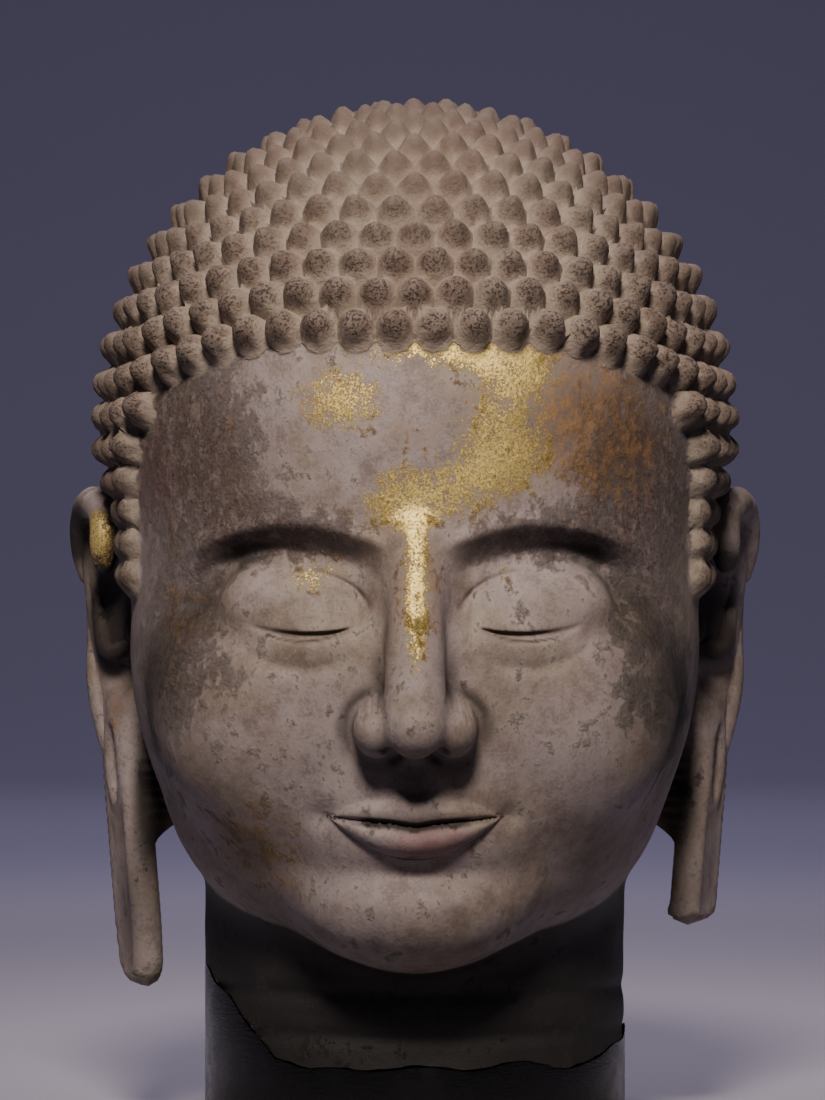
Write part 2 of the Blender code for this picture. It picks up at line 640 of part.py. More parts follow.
def block_mesh(shares, lower_rings):
    """A block under the break: its top follows the break at these shares of the neck's section, and the
    rings of (share, height) below close it."""
    points, faces = [(0.0, NECK_CENTRE_Y, float(break_height(0.0, NECK_CENTRE_Y)))], []
    for share in shares:
        x, y = neck_ring(share)
        points += list(zip(x, y, break_height(x, y)))
    for share, height in lower_rings:
        x, y = neck_ring(share)
        points += [(a, b, height) for a, b in zip(x, y)]
    n = BREAK_SIDES
    for i in range(n):
        faces.append((0, 1 + i, 1 + (i + 1) % n))
    for ring in range(len(shares) + len(lower_rings) - 1):
        a, b = 1 + ring * n, 1 + (ring + 1) * n
        for i in range(n):
            j = (i + 1) % n
            faces += [(a + i, b + i, b + j), (a + i, b + j, a + j)]
    last = 1 + (len(shares) + len(lower_rings) - 1) * n
    faces.append(tuple(last + i for i in reversed(range(n))))
    return np.array(points), faces


def combine(target, other, operation):
    """Joins or cuts the target with another object by a Boolean modifier."""
    other.hide_render = True
    other.display_type = "WIRE"
    change = target.modifiers.new(other.name, "BOOLEAN")
    change.operation = operation
    change.solver = "EXACT"
    change.object = other


def mesh_object(name, points, faces, finish):
    mesh = bpy.data.meshes.new(name)
    mesh.from_pydata([tuple(p) for p in points], [], [tuple(f) for f in faces])
    made = bpy.data.objects.new(name, mesh)
    bpy.context.scene.collection.objects.link(made)
    if finish is not None:
        mesh.materials.append(finish)
    work = bmesh.new()
    work.from_mesh(mesh)
    open_edges = [edge for edge in work.edges if len(edge.link_faces) == 1]
    if open_edges:
        bmesh.ops.contextual_create(work, geom=open_edges)
    bmesh.ops.recalc_face_normals(work, faces=work.faces)
    bmesh.ops.triangulate(work, faces=[face for face in work.faces if len(face.verts) > 3])
    work.to_mesh(mesh)
    work.free()
    return made


def main():
    clear_scene()
    stone = material(*STONE)
    points, triangles = head_mesh()
    head = mesh_object("stone_head", to_metres(points), triangles, stone)
    for name, side, lowest in (("right_ear", -1.0, EAR_HEIGHTS[0]), ("left_ear", 1.0, EAR_BROKEN_Z)):
        points, triangles = ear_mesh(side, lowest)
        combine(head, mesh_object(name, to_metres(points), triangles, None), "UNION")
    proud = 1.0 + STAND_PROUD / MODULE / NECK_HALF[1]
    points, faces = block_mesh((*BREAK_RINGS[1:], proud, 1.12), ((1.12, -12.0),))
    combine(head, mesh_object("break_cutter", to_metres(points), faces, None), "DIFFERENCE")
    lacquer = material(*BLACK_LACQUER)
    foot = -SEAT_Z / MODULE
    chamfer = STAND_CHAMFER / MODULE
    lower = ((proud, foot + chamfer), (proud - chamfer / NECK_HALF[1], foot))
    points, faces = block_mesh((*BREAK_RINGS[1:], proud), lower)
    points = to_metres(points)
    points[: 1 + BREAK_SIDES * len(BREAK_RINGS), 2] -= SEAT_GAP
    mesh_object("fitted_stand", points, faces, lacquer)


if __name__ == "__main__":
    main()
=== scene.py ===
"""Carves and finishes a stone head with snail-shell curls and long ears, and its black fitted stand.

The carving follows the same forms as the solids, cut finer. It is worked out in modules, each a hundredth
of the head's height. The face looks along -Y.
"""

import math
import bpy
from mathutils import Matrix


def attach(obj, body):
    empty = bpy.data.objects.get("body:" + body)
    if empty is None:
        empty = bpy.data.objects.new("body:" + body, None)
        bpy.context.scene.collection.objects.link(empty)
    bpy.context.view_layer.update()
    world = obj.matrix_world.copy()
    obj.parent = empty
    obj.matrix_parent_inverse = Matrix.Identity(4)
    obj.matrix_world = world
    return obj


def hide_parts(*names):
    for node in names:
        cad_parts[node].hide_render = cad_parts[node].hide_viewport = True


bl_info = {
    "name": "Weathered Stone Head",
    "version": (1, 0, 0),
    "blender": (4, 5, 0),
    "location": "View3D > Sidebar > Stone Head",
    "description": "Carves a once gilded stone head, finishes its stand and sets its studio",
    "category": "Add Mesh",
}

import bmesh
import bpy
import numpy as np
from bpy.props import FloatProperty, FloatVectorProperty, PointerProperty
from mathutils import Vector
from mathutils.geometry import delaunay_2d_cdt
from mathutils.kdtree import KDTree

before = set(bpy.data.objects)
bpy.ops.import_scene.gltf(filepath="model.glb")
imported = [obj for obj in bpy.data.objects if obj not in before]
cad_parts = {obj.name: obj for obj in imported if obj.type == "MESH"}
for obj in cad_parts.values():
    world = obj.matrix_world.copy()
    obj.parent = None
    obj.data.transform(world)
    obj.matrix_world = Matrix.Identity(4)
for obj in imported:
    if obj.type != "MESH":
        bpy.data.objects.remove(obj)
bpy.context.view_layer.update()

# Sizes of the solids, in metres
HEAD_HEIGHT = 0.500
CURL_PITCH = 0.0190
CURL_HEIGHT = 0.0155
STAND_HEIGHT = 0.030
STAND_PROUD = 0.0005
STAND_CHAMFER = 0.002
SEAT_GAP = 0.0003
MODULE = HEAD_HEIGHT / 100.0
SEAT_Z = STAND_HEIGHT + SEAT_GAP

# The head's main masses, in modules: centre, then half-sizes
CRANIUM = ((0.0, 0.5, 66.0), (30.9, 34.0, 30.9))
LOWER_FACE = ((0.0, -4.5, 43.0), (29.3, 28.5, 32.5))
JAW = ((0.0, -7.0, 27.0), (24.0, 21.5, 16.5))
CHIN = ((0.0, -22.0, 17.6), (11.0, 8.9, 6.8))
CHEEK = ((15.0, -21.0, 36.0), (10.5, 8.2, 10.5))
MUZZLE = ((0.0, -25.4, 27.0), (11.0, 5.8, 8.0))
EYEBALL = ((11.6, -25.2, 46.9), (8.4, 5.5, 5.9))
NECK_CENTRE_Y = 3.5
NECK_HALF = (21.8, 21.0)
NECK_FOLDS = (7.5, 3.2)

# The face, in thirds from the hairline to the chin, with an eye as the unit across
HAIRLINE_Z = 74.2
BROW_Z = 55.2
EYE_Z = 45.6
NOSE_Z = 35.6
MOUTH_Z = 25.7
EYE_X = 11.6
EYE_HALF = 5.8
MOUTH_HALF = 8.7

# The hairline
FACE_ANGLE = math.radians(69.0)
HAIRLINE_FOOT_Z = 50.0
HAIRLINE_POWER = 3.0
SIDEBURN_Z = 47.4
EAR_ZONE = (math.radians(88.0), math.radians(108.0))
EAR_ZONE_Z = 57.5
NAPE_Z = 27.0
FIRST_ROW_ANGLE = math.radians(16.5)
ROW_DROOP = 5.2

# The break
BREAK_CLIMB = (14.5, 22.3, 9.4)
BREAK_LEFT_CLIMB = (18.5, 22.3, 2.6)
BREAK_RIPPLE = 0.45
BREAK_RINGS = (0.12, 0.25, 0.42, 0.58, 0.74, 0.82, 0.9, 0.95)
BREAK_SIDES = 128
# The last ring inside the neck's edge, and how far out and down the block that cuts the neck goes
BREAK_EDGE = 0.985
CUT_EDGE = 1.12
CUT_FOOT = -12.0

# The long ears: half their width over their height, from the lobe's end to the top
EAR_HEIGHTS = (7.0, 7.7, 9.5, 14.0, 24.0, 36.0, 41.0, 46.0, 51.0, 55.0, 57.6, 58.7)
EAR_HALF_WIDTHS = (0.4, 2.1, 3.2, 3.7, 3.7, 3.9, 4.7, 5.8, 6.3, 5.7, 3.6, 1.0)
EAR_FLARE = math.radians(22.0)
EAR_THICK = 1.6
EAR_ROUNDING = 1.5
EAR_TOP = (32.4, 8.0, 57.0)
EAR_FOOT = (28.3, 4.0, 8.0)
EAR_BROKEN_Z = 14.0
EAR_SPACING = 0.66

# Spacing of the carved surface's points before each triangle is split in sixteen
PLAIN_SPACING = 2.3
FINE_SPACING = 0.85
RIM_SIDES = 44

# A curl's foot, as a share of the pitch: as far as the corner where it meets two others
CURL_REACH = 0.577
# How many curls shape each point of the hair, and how sharp the valleys between them are
CURLS_NEAR = 4
VALLEY_POWER = 3.0
# How many points are measured against every curl at once, and the distance given to those near none
BATCH = 4000
FAR = 99.0

# The stand's outline, as a share of the neck's section
STAND_SHARE = 1.0 + STAND_PROUD / MODULE / NECK_HALF[1]

AXIS_HALF = (CRANIUM[1][0], CRANIUM[1][1])
DOME_Z = CRANIUM[0][2]
DOME_HEIGHT = CRANIUM[1][2]

# How far in front of the stone its hollows are judged, in modules
HOLLOW_DEPTH = 2.2

# Edges sharper than this stay crisp, on the stone and on the stand
STONE_CRISP = math.radians(58.0)
STAND_CRISP = math.radians(35.0)

# The camera stands level with the face, as far off as a long lens needs
CAMERA_DISTANCE = 3.2
CAMERA_HEIGHT = 0.2945
CAMERA_SIDE = -0.0013
SENSOR_WIDTH = 36.0
PICTURE_HEIGHT = 0.571  # how much of the height shows at the middle of the head


def linear(hex_colour):
    """An sRGB hex colour as linear red, green and blue."""
    parts = [int(hex_colour[i : i + 2], 16) / 255.0 for i in (1, 3, 5)]
    return tuple(p / 12.92 if p <= 0.04045 else ((p + 0.055) / 1.055) ** 2.4 for p in parts)


# Solid forms, as distances in modules from an array of points


def ellipsoid(points, centre, half):
    offset = (points - np.array(centre)) / np.array(half)
    near = np.linalg.norm(offset, axis=1)
    steep = np.linalg.norm(offset / np.array(half), axis=1)
    return near * (near - 1.0) / np.maximum(steep, 1e-9)


def tapered_rod(points, start, end, start_radius, end_radius):
    start, end = np.array(start), np.array(end)
    along = end - start
    share = np.clip((points - start) @ along / (along @ along), 0.0, 1.0)
    nearest = start + share[:, None] * along
    radius = start_radius + share * (end_radius - start_radius)
    return np.linalg.norm(points - nearest, axis=1) - radius


def joined(a, b, reach):
    """The union of two forms, with a fillet of about this reach."""
    share = np.clip(0.5 + 0.5 * (b - a) / reach, 0.0, 1.0)
    return b + (a - b) * share - reach * share * (1.0 - share)


def carved(a, b, reach):
    """Form a without form b."""
    return -joined(-a, b, reach)


def rise(value, start, end):
    """0 before start and 1 after end, smoothly."""
    share = np.clip((value - start) / (end - start), 0.0, 1.0)
    return share * share * (3.0 - 2.0 * share)


def bump(value, width):
    return np.exp(-((value / width) ** 2))


# The face's own lines, as heights over the distance from the middle


def brow_line(x):
    return BROW_Z - 4.4 * ((x - EYE_X - 0.9) / 12.5) ** 2


def eye_share(x):
    return (x - EYE_X) / EYE_HALF


def upper_lid_line(x):
    return EYE_Z - 0.95 + 0.95 * eye_share(x) ** 2 + 0.35 * eye_share(x)


def lower_lid_line(x):
    return EYE_Z - 1.85 + 1.85 * eye_share(x) ** 2 + 0.35 * eye_share(x)


def mouth_line(x):
    return MOUTH_Z + 0.010 * x**2 - 0.30 * bump(x, 1.6)


def upper_lip_line(x):
    return MOUTH_Z + 2.75 + 0.35 * bump(x - 1.7, 1.1) - 0.35 * bump(x, 0.9) - 0.0285 * x**2


def lower_lip_line(x):
    return MOUTH_Z - 3.5 + 0.0565 * x**2


def lip_swell(z, x, low, high, fullness):
    across = np.clip(1.0 - (x / (MOUTH_HALF + 0.3)) ** 2, 0.0, 1.0)
    share = np.clip((z - low) / np.maximum(high - low, 0.05), 0.0, 1.0)
    return fullness * across**0.85 * np.sin(math.pi * share) ** 0.55


def face_relief(points):
    """How far the carver raised the face's surface, or cut it back, over its main masses."""
    x, y, z = np.abs(points[:, 0]), points[:, 1], points[:, 2]
    front = rise(-y, 10.0, 20.0)
    under_brow = rise(brow_line(x) - z, -0.3, 2.8) * rise(z, 42.5, 48.5)
    socket = -2.0 * under_brow * rise(x, 2.4, 6.0) * (1.0 - rise(x, 17.0, 25.0))
    ridge = 0.4 * bump(z - brow_line(x) - 0.5, 0.8) * rise(x, 1.0, 5.0) * (1.0 - rise(x, 18.0, 26.0))
    within = np.clip(1.0 - eye_share(x) ** 2, 0.0, 1.0)
    over = z - upper_lid_line(x)
    under = lower_lid_line(x) - z
    lid = 0.6 * rise(over, -0.26, 0.26) * bump(over - 1.2, 2.6)
    socket_edge = np.hypot((x - EYE_X) / 7.2, (z - EYE_Z - 0.4) / 4.7) - 1.0
    crease = -0.3 * bump(socket_edge, 0.06) * rise(over, 0.5, 1.5)
    lower_lid = 0.38 * rise(under, -0.3, 0.3) * bump(under, 1.3)
    bag = -0.22 * bump(under - 2.7, 0.7)
    opening = -0.42 * rise(-over, -0.24, 0.24) * rise(-under, -0.3, 0.3)
    eye = (lid + lower_lid + bag + opening) * within**0.5 + crease
    philtrum = -0.5 * bump(x, 1.0) + 0.25 * bump(x - 2.0, 0.8)
    philtrum = philtrum * rise(z, 28.0, 29.2) * (1.0 - rise(z, 31.4, 32.8))
    lips = lip_swell(z, x, mouth_line(x), upper_lip_line(x), 1.1)
    lips = lips + lip_swell(z, x, lower_lip_line(x), mouth_line(x), 1.6)
    lip_edge = 0.18 * bump(z - upper_lip_line(x), 0.22) * (1.0 - rise(x, 6.5, 8.2))
    mouth_cut = -0.3 * bump(z - mouth_line(x), 0.28) * (1.0 - rise(x, MOUTH_HALF - 1.0, MOUTH_HALF + 1.0))
    corner = -0.7 * bump(x - MOUTH_HALF - 0.5, 1.4) * bump(z - mouth_line(MOUTH_HALF) - 0.1, 1.4)
    under_lip = -0.9 * bump(z - MOUTH_Z + 5.0, 1.7) * bump(x, 7.5)
    wing_crease = -0.22 * bump(np.hypot((x - 3.7) / 2.9, (z - NOSE_Z + 0.3) / 3.1) - 1.0, 0.28)
    wing_crease = wing_crease * rise(x, 3.6, 5.2) * rise(z, NOSE_Z - 3.0, NOSE_Z - 0.5)
    face = socket + ridge + eye + philtrum + lips + lip_edge + mouth_cut + corner + under_lip
    return front * (face + wing_crease)


def hand_work(points):
    """The slight unevenness that hand rubbing and wear leave, in modules."""
    x, y, z = points.T
    slow = np.sin(0.31 * x + 0.23 * y + 1.0) * np.sin(0.27 * z - 0.19 * x) * 0.16
    quick = np.sin(0.9 * x - 0.7 * z + 2.0) * np.sin(0.8 * y + 0.6 * z) * 0.05
    return slow + quick


def head_distance(points):
    """The distance from the head's surface under the curls, without the ears."""
    paired = np.column_stack((np.abs(points[:, 0]), points[:, 1:]))
    x, y, z = points.T
    neck = (np.hypot(x / NECK_HALF[0], (y - NECK_CENTRE_Y) / NECK_HALF[1]) - 1.0) * NECK_HALF[1]
    for fold in NECK_FOLDS:
        neck = neck + 0.35 * bump(z - fold + 0.02 * (y - NECK_CENTRE_Y), 0.8) * rise(-y, -12.0, 4.0)
    neck = np.maximum(neck, z - HAIRLINE_FOOT_Z)
    form = joined(ellipsoid(points, *CRANIUM), ellipsoid(points, *LOWER_FACE), 6.0)
    form = joined(form, ellipsoid(points, *JAW), 3.0)
    form = joined(form, neck, 3.0)
    form = joined(form, ellipsoid(points, *CHIN), 5.0)
    form = joined(form, ellipsoid(paired, *CHEEK), 6.0)
    form = joined(form, ellipsoid(points, *MUZZLE), 3.0)
    form = form - face_relief(points) - hand_work(points) * 0.6
    form = joined(form, ellipsoid(paired, *EYEBALL) + 0.4, 1.6)
    bridge = tapered_rod(points, (0.0, -31.6, 53.5), (0.0, -36.9, NOSE_Z), 2.4, 3.2)
    wing = ellipsoid(paired, (3.7, -33.9, NOSE_Z - 0.6), (2.4, 3.4, 2.6))
    nose = joined(bridge, wing, 1.3)
    form = joined(form, nose, 1.9)
    nostril = ellipsoid(paired, (2.3, -36.0, NOSE_Z - 3.6), (1.2, 2.1, 1.7))
    return carved(form, nostril, 0.4)


# The carving's own coordinates: an angle round the head and a run from the crown to the neck


def run_table():
    """Runs from the crown down a reference outline, with each one's radius, height and ray slope."""
    dome = np.radians(np.linspace(90.0, 0.0, 181))
    radius = list(DOME_HEIGHT * np.cos(dome))
    height = list(DOME_Z + DOME_HEIGHT * np.sin(dome))
    slope = list(dome)
    side_z = np.linspace(DOME_Z, -6.0, 146)[1:]
    radius += list(np.interp(side_z, (-6.0, 10.0, 25.0, 45.0, DOME_Z), (22.0, 22.0, 25.0, 29.0, DOME_HEIGHT)))
    height += list(side_z)
    slope += list(-math.radians(30.0) * (1.0 - rise(side_z, 33.0, 58.0)))
    radius, height, slope = np.array(radius), np.array(height), np.array(slope)
    steps = np.hypot(np.diff(radius), np.diff(height))
    run = np.concatenate(([0.0], np.cumsum(steps)))
    return run, radius, height, slope


RUN, RUN_RADIUS, RUN_HEIGHT, RUN_SLOPE = run_table()
RUN_ORIGIN = np.where(RUN_SLOPE > 0.0, DOME_Z, RUN_HEIGHT - RUN_RADIUS * np.tan(np.minimum(RUN_SLOPE, 0.0)))
EQUATOR_RUN = RUN[180]
CHART_LOG = np.concatenate(
    ([0.0], np.cumsum(np.diff(RUN)[1:] / (0.5 * (RUN_RADIUS[1:-1] + RUN_RADIUS[2:]))))
)


def chart_of(angle, run):
    """Places on a flat chart that keeps angles. The crown is at its centre."""
    radius = np.exp(np.interp(run, RUN[1:], CHART_LOG)) * np.clip(run / RUN[1], 0.0, 1.0)
    return np.stack((radius * np.sin(angle), -radius * np.cos(angle)), axis=1)


def place_on_chart(chart):
    """The angle and run of chart coordinates."""
    radius = np.linalg.norm(chart, axis=1)
    run = np.where(
        radius > 1.0, np.interp(np.log(np.maximum(radius, 1.0)), CHART_LOG, RUN[1:]), radius * RUN[1]
    )
    return np.arctan2(chart[:, 0], -chart[:, 1]), run


def surface_at(angle, run, travel=None):
    """Points on the head's surface, found along rays from its axis, from a first guess if there is one."""
    return rays_at(angle, run, travel)[0]


def rays_at(angle, run, travel=None):
    slope = np.interp(run, RUN, RUN_SLOPE)
    start = np.zeros((len(run), 3))
    start[:, 2] = np.interp(run, RUN, RUN_ORIGIN)
    ray = np.stack(
        (
            AXIS_HALF[0] * np.sin(angle) * np.cos(slope),
            -AXIS_HALF[1] * np.cos(angle) * np.cos(slope),
            DOME_HEIGHT * np.sin(slope),
        ),
        axis=1,
    )
    ray = ray / np.linalg.norm(ray, axis=1)[:, None]
    rounds = 44 if travel is None else 16
    travel = np.full(len(run), 58.0) if travel is None else travel
    for _ in range(rounds):
        travel = travel - 0.85 * head_distance(start + travel[:, None] * ray)
    return start + travel[:, None] * ray, travel


def front_surface_at(x, z):
    """Points on the face under places of the front view."""
    points = np.stack((x, np.full(len(x), -55.0), z), axis=1)
    for _ in range(50):
        points[:, 1] += 0.8 * head_distance(points)
    return points


def place_of(points):
    """The angle and run whose ray passes through each point."""
    x, y, z = points.T
    angle = np.arctan2(x / AXIS_HALF[0], -y / AXIS_HALF[1])
    share = np.hypot(x / AXIS_HALF[0], y / AXIS_HALF[1])
    lift = z - DOME_Z
    dome_run = DOME_HEIGHT * (math.pi / 2 - np.arctan2(lift, share * DOME_HEIGHT))
    low, high = np.full(len(x), EQUATOR_RUN), np.full(len(x), RUN[-1])
    for _ in range(40):
        middle = 0.5 * (low + high)
        height = np.interp(middle, RUN, RUN_ORIGIN)
        height = height + share * DOME_HEIGHT * np.tan(np.interp(middle, RUN, RUN_SLOPE))
        low = np.where(height > z, middle, low)
        high = np.where(height > z, high, middle)
    return angle, np.where(lift > 0.0, dome_run, low)


def outward(points):
    """The surface's outward direction, from how the distance grows."""
    steps = np.eye(3) * 0.05
    grown = np.stack([head_distance(points + s) - head_distance(points - s) for s in steps], axis=1)
    return grown / np.linalg.norm(grown, axis=1)[:, None]


# The curls


def hairline_height(angle):
    """The height below which there is no hair, over the angle from the front."""
    angle = np.abs(angle)
    share = np.clip(angle / FACE_ANGLE, 0.0, 1.0)
    arch = (1.0 - share**HAIRLINE_POWER) ** (1.0 / HAIRLINE_POWER)
    brow = HAIRLINE_FOOT_Z + (HAIRLINE_Z - HAIRLINE_FOOT_Z) * arch
    behind = np.where(angle < EAR_ZONE[0], SIDEBURN_Z, np.where(angle < EAR_ZONE[1], EAR_ZONE_Z, NAPE_Z))
    return np.where(angle < FACE_ANGLE, brow, behind)


def row_run(run, angle):
    """The run of a row over the angle. It droops towards the temples, less so near the crown."""
    first = DOME_HEIGHT * (math.pi / 2 - FIRST_ROW_ANGLE)
    return run + ROW_DROOP * min(run / first, 1.0) * rise(np.abs(angle), 0.38, 1.31)


def curl_rows(pitch):
    """The angle and run of each curl's foot, in rows with every other row shifted half a pitch."""
    row_step = pitch * math.sqrt(3.0) / 2.0
    first = DOME_HEIGHT * (math.pi / 2 - FIRST_ROW_ANGLE)
    above = int((first - 0.35 * row_step) / row_step)
    runs = first + row_step * np.arange(-above, 40)
    runs = runs[runs < RUN[-1]]
    angles = np.radians(np.arange(-180.0, 180.0, 0.5))
    found = []
    for number, run in enumerate(runs):
        ring = surface_at(angles, row_run(run, angles))
        if ring[0, 2] < NAPE_Z:
            break
        around = np.append(angles, math.pi)
        steps = np.linalg.norm(np.diff(np.vstack((ring, ring[:1])), axis=0), axis=1)
        length = np.concatenate(([0.0], np.cumsum(steps)))
        free = np.append(ring[:, 2] > hairline_height(angles), True)
        if free.all():
            count = max(3, round(length[-1] / pitch))
            shift = 0.5 * (number % 2)
            wanted = (np.arange(count) + shift) * length[-1] / count
            middle = np.interp(0.0, around, length)
            wanted = np.mod(wanted + middle, length[-1])
            found.append((np.interp(wanted, length, around), run))
            continue
        edges = np.flatnonzero(np.diff(free.astype(int)))
        bounds = [0, *edges, len(free) - 1]
        starts_free = free[0]
        arcs = [(a, b) for i, (a, b) in enumerate(zip(bounds, bounds[1:])) if (i % 2 == 0) == starts_free]
        if starts_free:
            first_arc, last_arc = arcs[0], arcs[-1]
            arcs = arcs[1:-1]
            span = length[-1] - length[last_arc[0]] + length[first_arc[1]]
            count = max(1, round(span / pitch))
            wanted = length[last_arc[0]] + (np.arange(count) + 0.5) * span / count
            wanted = np.mod(wanted, length[-1])
            found.append((np.interp(wanted, length, around), run))
        for a, b in arcs:
            span = length[b] - length[a]
            count = round(span / pitch)
            if count:
                wanted = length[a] + (np.arange(count) + 0.5) * span / count
                found.append((np.interp(wanted, length, around), run))
    angle = np.concatenate([a for a, _ in found])
    run = np.concatenate([row_run(r, a) for a, r in found])
    return angle, run


def curl_edges(angle, run, feet, pitch):
    """Places round the outermost curls' feet, where the hair meets bare stone."""
    reach = CURL_REACH * pitch
    kept = []
    for turn in np.radians(np.arange(0.0, 360.0, 30.0)):
        away = reach * math.cos(turn) / np.maximum(np.interp(run, RUN, RUN_RADIUS), 3.0)
        place = (angle + away, run + reach * math.sin(turn))
        points = surface_at(*place)
        gaps = np.linalg.norm(points[:, None, :] - feet[None, :, :], axis=2)
        outside = (np.sort(gaps, axis=1)[:, 2] > 0.86 * pitch) & (gaps.min(axis=1) > 0.53 * pitch)
        for a, r, point in zip(place[0][outside], place[1][outside], points[outside]):
            if all(np.linalg.norm(point - other) > 0.27 * pitch for _, _, other in kept):
                kept.append((a, r, point))
    return np.array([a for a, _, _ in kept]), np.array([r for _, r, _ in kept])


def bare_grid(spacing):
    """Places in level rows all over the head below its crown."""
    angles, runs = [], []
    for number, run in enumerate(np.arange(0.5 * EQUATOR_RUN, RUN[-1] - 0.6 * spacing, spacing * 0.866)):
        count = max(6, round(2.0 * math.pi * np.interp(run, RUN, RUN_RADIUS) / spacing))
        around = (np.arange(count) + 0.5 * (number % 2)) / count * 2.0 * math.pi - math.pi
        angles.append(around)
        runs.append(np.full(count, run))
    return np.concatenate(angles), np.concatenate(runs)


def feature_lines(spacing):
    """Points along the lines that a carver cuts first: brows, lids, nose and lips."""
    brow_x = np.linspace(4.5, 24.0, round(19.5 / spacing))
    eye_x = np.linspace(EYE_X - EYE_HALF, EYE_X + EYE_HALF, round(2.0 * EYE_HALF / spacing) + 1)
    lip_x = np.linspace(0.0, MOUTH_HALF, round(MOUTH_HALF / spacing) + 1)
    wanted = [
        np.stack((brow_x, brow_line(brow_x) + 0.3), axis=1),
        np.stack((brow_x[1:-1], brow_line(brow_x[1:-1]) - 1.5), axis=1),
        np.stack((eye_x, upper_lid_line(eye_x) + 0.13), axis=1),
        np.stack((lip_x, mouth_line(lip_x)), axis=1),
        np.stack((lip_x[:-1], upper_lip_line(lip_x[:-1])), axis=1),
        np.stack((lip_x[:-1], lower_lip_line(lip_x[:-1])), axis=1),
    ]
    found = np.zeros((0, 3))
    for line in wanted:
        sides = np.concatenate((line, line * (-1.0, 1.0)))
        for point in front_surface_at(sides[:, 0], sides[:, 1]):
            if kept_apart(point[None], 0.42, found).all():
                found = np.vstack((found, point))
    return found


def in_fine_zone(points):
    """Whether points lie round the eyes, the nose or the mouth."""
    x, y, z = np.abs(points[:, 0]), points[:, 1], points[:, 2]
    eye = np.hypot((x - EYE_X) / 9.2, (z - EYE_Z - 1.6) / 6.6) < 1.0
    nose = (x < np.interp(z, (NOSE_Z + 1.0, NOSE_Z + 4.0), (7.6, 5.2))) & (z > NOSE_Z - 5.5) & (z < BROW_Z)
    mouth = np.hypot(x / 11.5, (z - MOUTH_Z) / 6.2) < 1.0
    brow = (np.abs(z - brow_line(x) + 0.6) < 1.3) & (x > 3.0) & (x < 25.0)
    return (eye | nose | mouth | brow) & (y < 0.0)


def kept_apart(points, apart, taken):
    """Whether each point is at least this far from those already taken."""
    offsets = points[:, None, :] - taken[None, :, :]
    return (np.linalg.norm(offsets, axis=2) > apart).all(axis=1)


def carving_points(pitch):
    """Curl feet, then every other point that the carved surface is drawn through, as angle and run."""
    curl_angle, curl_run = curl_rows(pitch)
    curl_feet = surface_at(curl_angle, curl_run)
    edge_angle, edge_run = curl_edges(curl_angle, curl_run, curl_feet, pitch)
    edge_points = surface_at(edge_angle, edge_run)
    line_points = feature_lines(FINE_SPACING)
    line_angle, line_run = place_of(line_points)
    parts = [(curl_angle, curl_run), (edge_angle, edge_run), (line_angle, line_run)]
    for spacing, fine in ((FINE_SPACING, True), (PLAIN_SPACING, False)):
        angle, run = bare_grid(spacing)
        points = surface_at(angle, run)
        keep = in_fine_zone(points) == fine
        keep &= points[:, 2] < hairline_height(angle) + 0.5 * pitch
        angle, run, points = angle[keep], run[keep], points[keep]
        keep = kept_apart(points, 0.9 * pitch, curl_feet)
        keep &= kept_apart(points, 0.4 * pitch, edge_points)
        keep &= kept_apart(points, 0.6 * FINE_SPACING, line_points)
        parts.append((angle[keep], run[keep]))
    rim = (np.arange(RIM_SIDES) / RIM_SIDES) * 2.0 * math.pi - math.pi
    parts.append((rim, np.full(RIM_SIDES, RUN[-1])))
    angle = np.concatenate([a for a, _ in parts])
    run = np.concatenate([r for _, r in parts])
    return angle, run, curl_feet


def curl_triangles(triangles, curls, chart):
    """Turns the triangles between curls into six-sided points with valleys round them.

    Returns the triangles and the chart places of the valleys."""
    valleys, valley_of = [], {}

    def add_valley(key, corners):
        if key not in valley_of:
            valley_of[key] = len(chart) + len(valleys)
            valleys.append(chart[list(corners)].mean(axis=0))
        return valley_of[key]

    all_hair = {triangle for triangle in triangles if max(triangle) < curls}
    beside = {}
    for triangle in triangles:
        for a, b in zip(triangle, triangle[1:] + triangle[:1]):
            beside[a, b] = triangle
    made = []
    for (a, b), triangle in beside.items():
        if triangle not in all_hair:
            continue
        middle = add_valley(triangle, triangle)
        other = beside.get((b, a))
        if other in all_hair:
            made.append((a, add_valley(other, other), middle))
        else:
            between = add_valley(frozenset((a, b)), (a, b))
            made += [(a, between, middle), (between, b, middle)]
    for triangle in triangles:
        if triangle in all_hair:
            continue
        ring = []
        for a, b in zip(triangle, triangle[1:] + triangle[:1]):
            ring.append(a)
            if max(a, b) < curls:
                ring.append(add_valley(frozenset((a, b)), (a, b)))
        if len(ring) == 3:
            made.append(tuple(ring))
        elif len(ring) == 4:
            at = next(i for i in range(4) if ring[i] >= len(chart))
            ring = ring[at:] + ring[:at]
            made += [(ring[0], ring[1], ring[2]), (ring[0], ring[2], ring[3])]
    return made, np.array(valleys)


def split_in_four(triangles, places):
    """Splits each triangle at the middles of its edges. Returns the triangles and all the places."""
    sides = np.concatenate((triangles[:, [0, 1]], triangles[:, [1, 2]], triangles[:, [2, 0]]))
    pairs, which = np.unique(np.sort(sides, axis=1), axis=0, return_inverse=True)
    which = which.reshape(3, -1) + len(places)
    a, b, c = triangles.T
    ab, bc, ca = which
    split = [np.stack(corners, axis=1) for corners in ((a, ab, ca), (ab, b, bc), (ca, bc, c), (ab, bc, ca))]
    return np.concatenate(split), np.concatenate((places, places[pairs].mean(axis=1)))


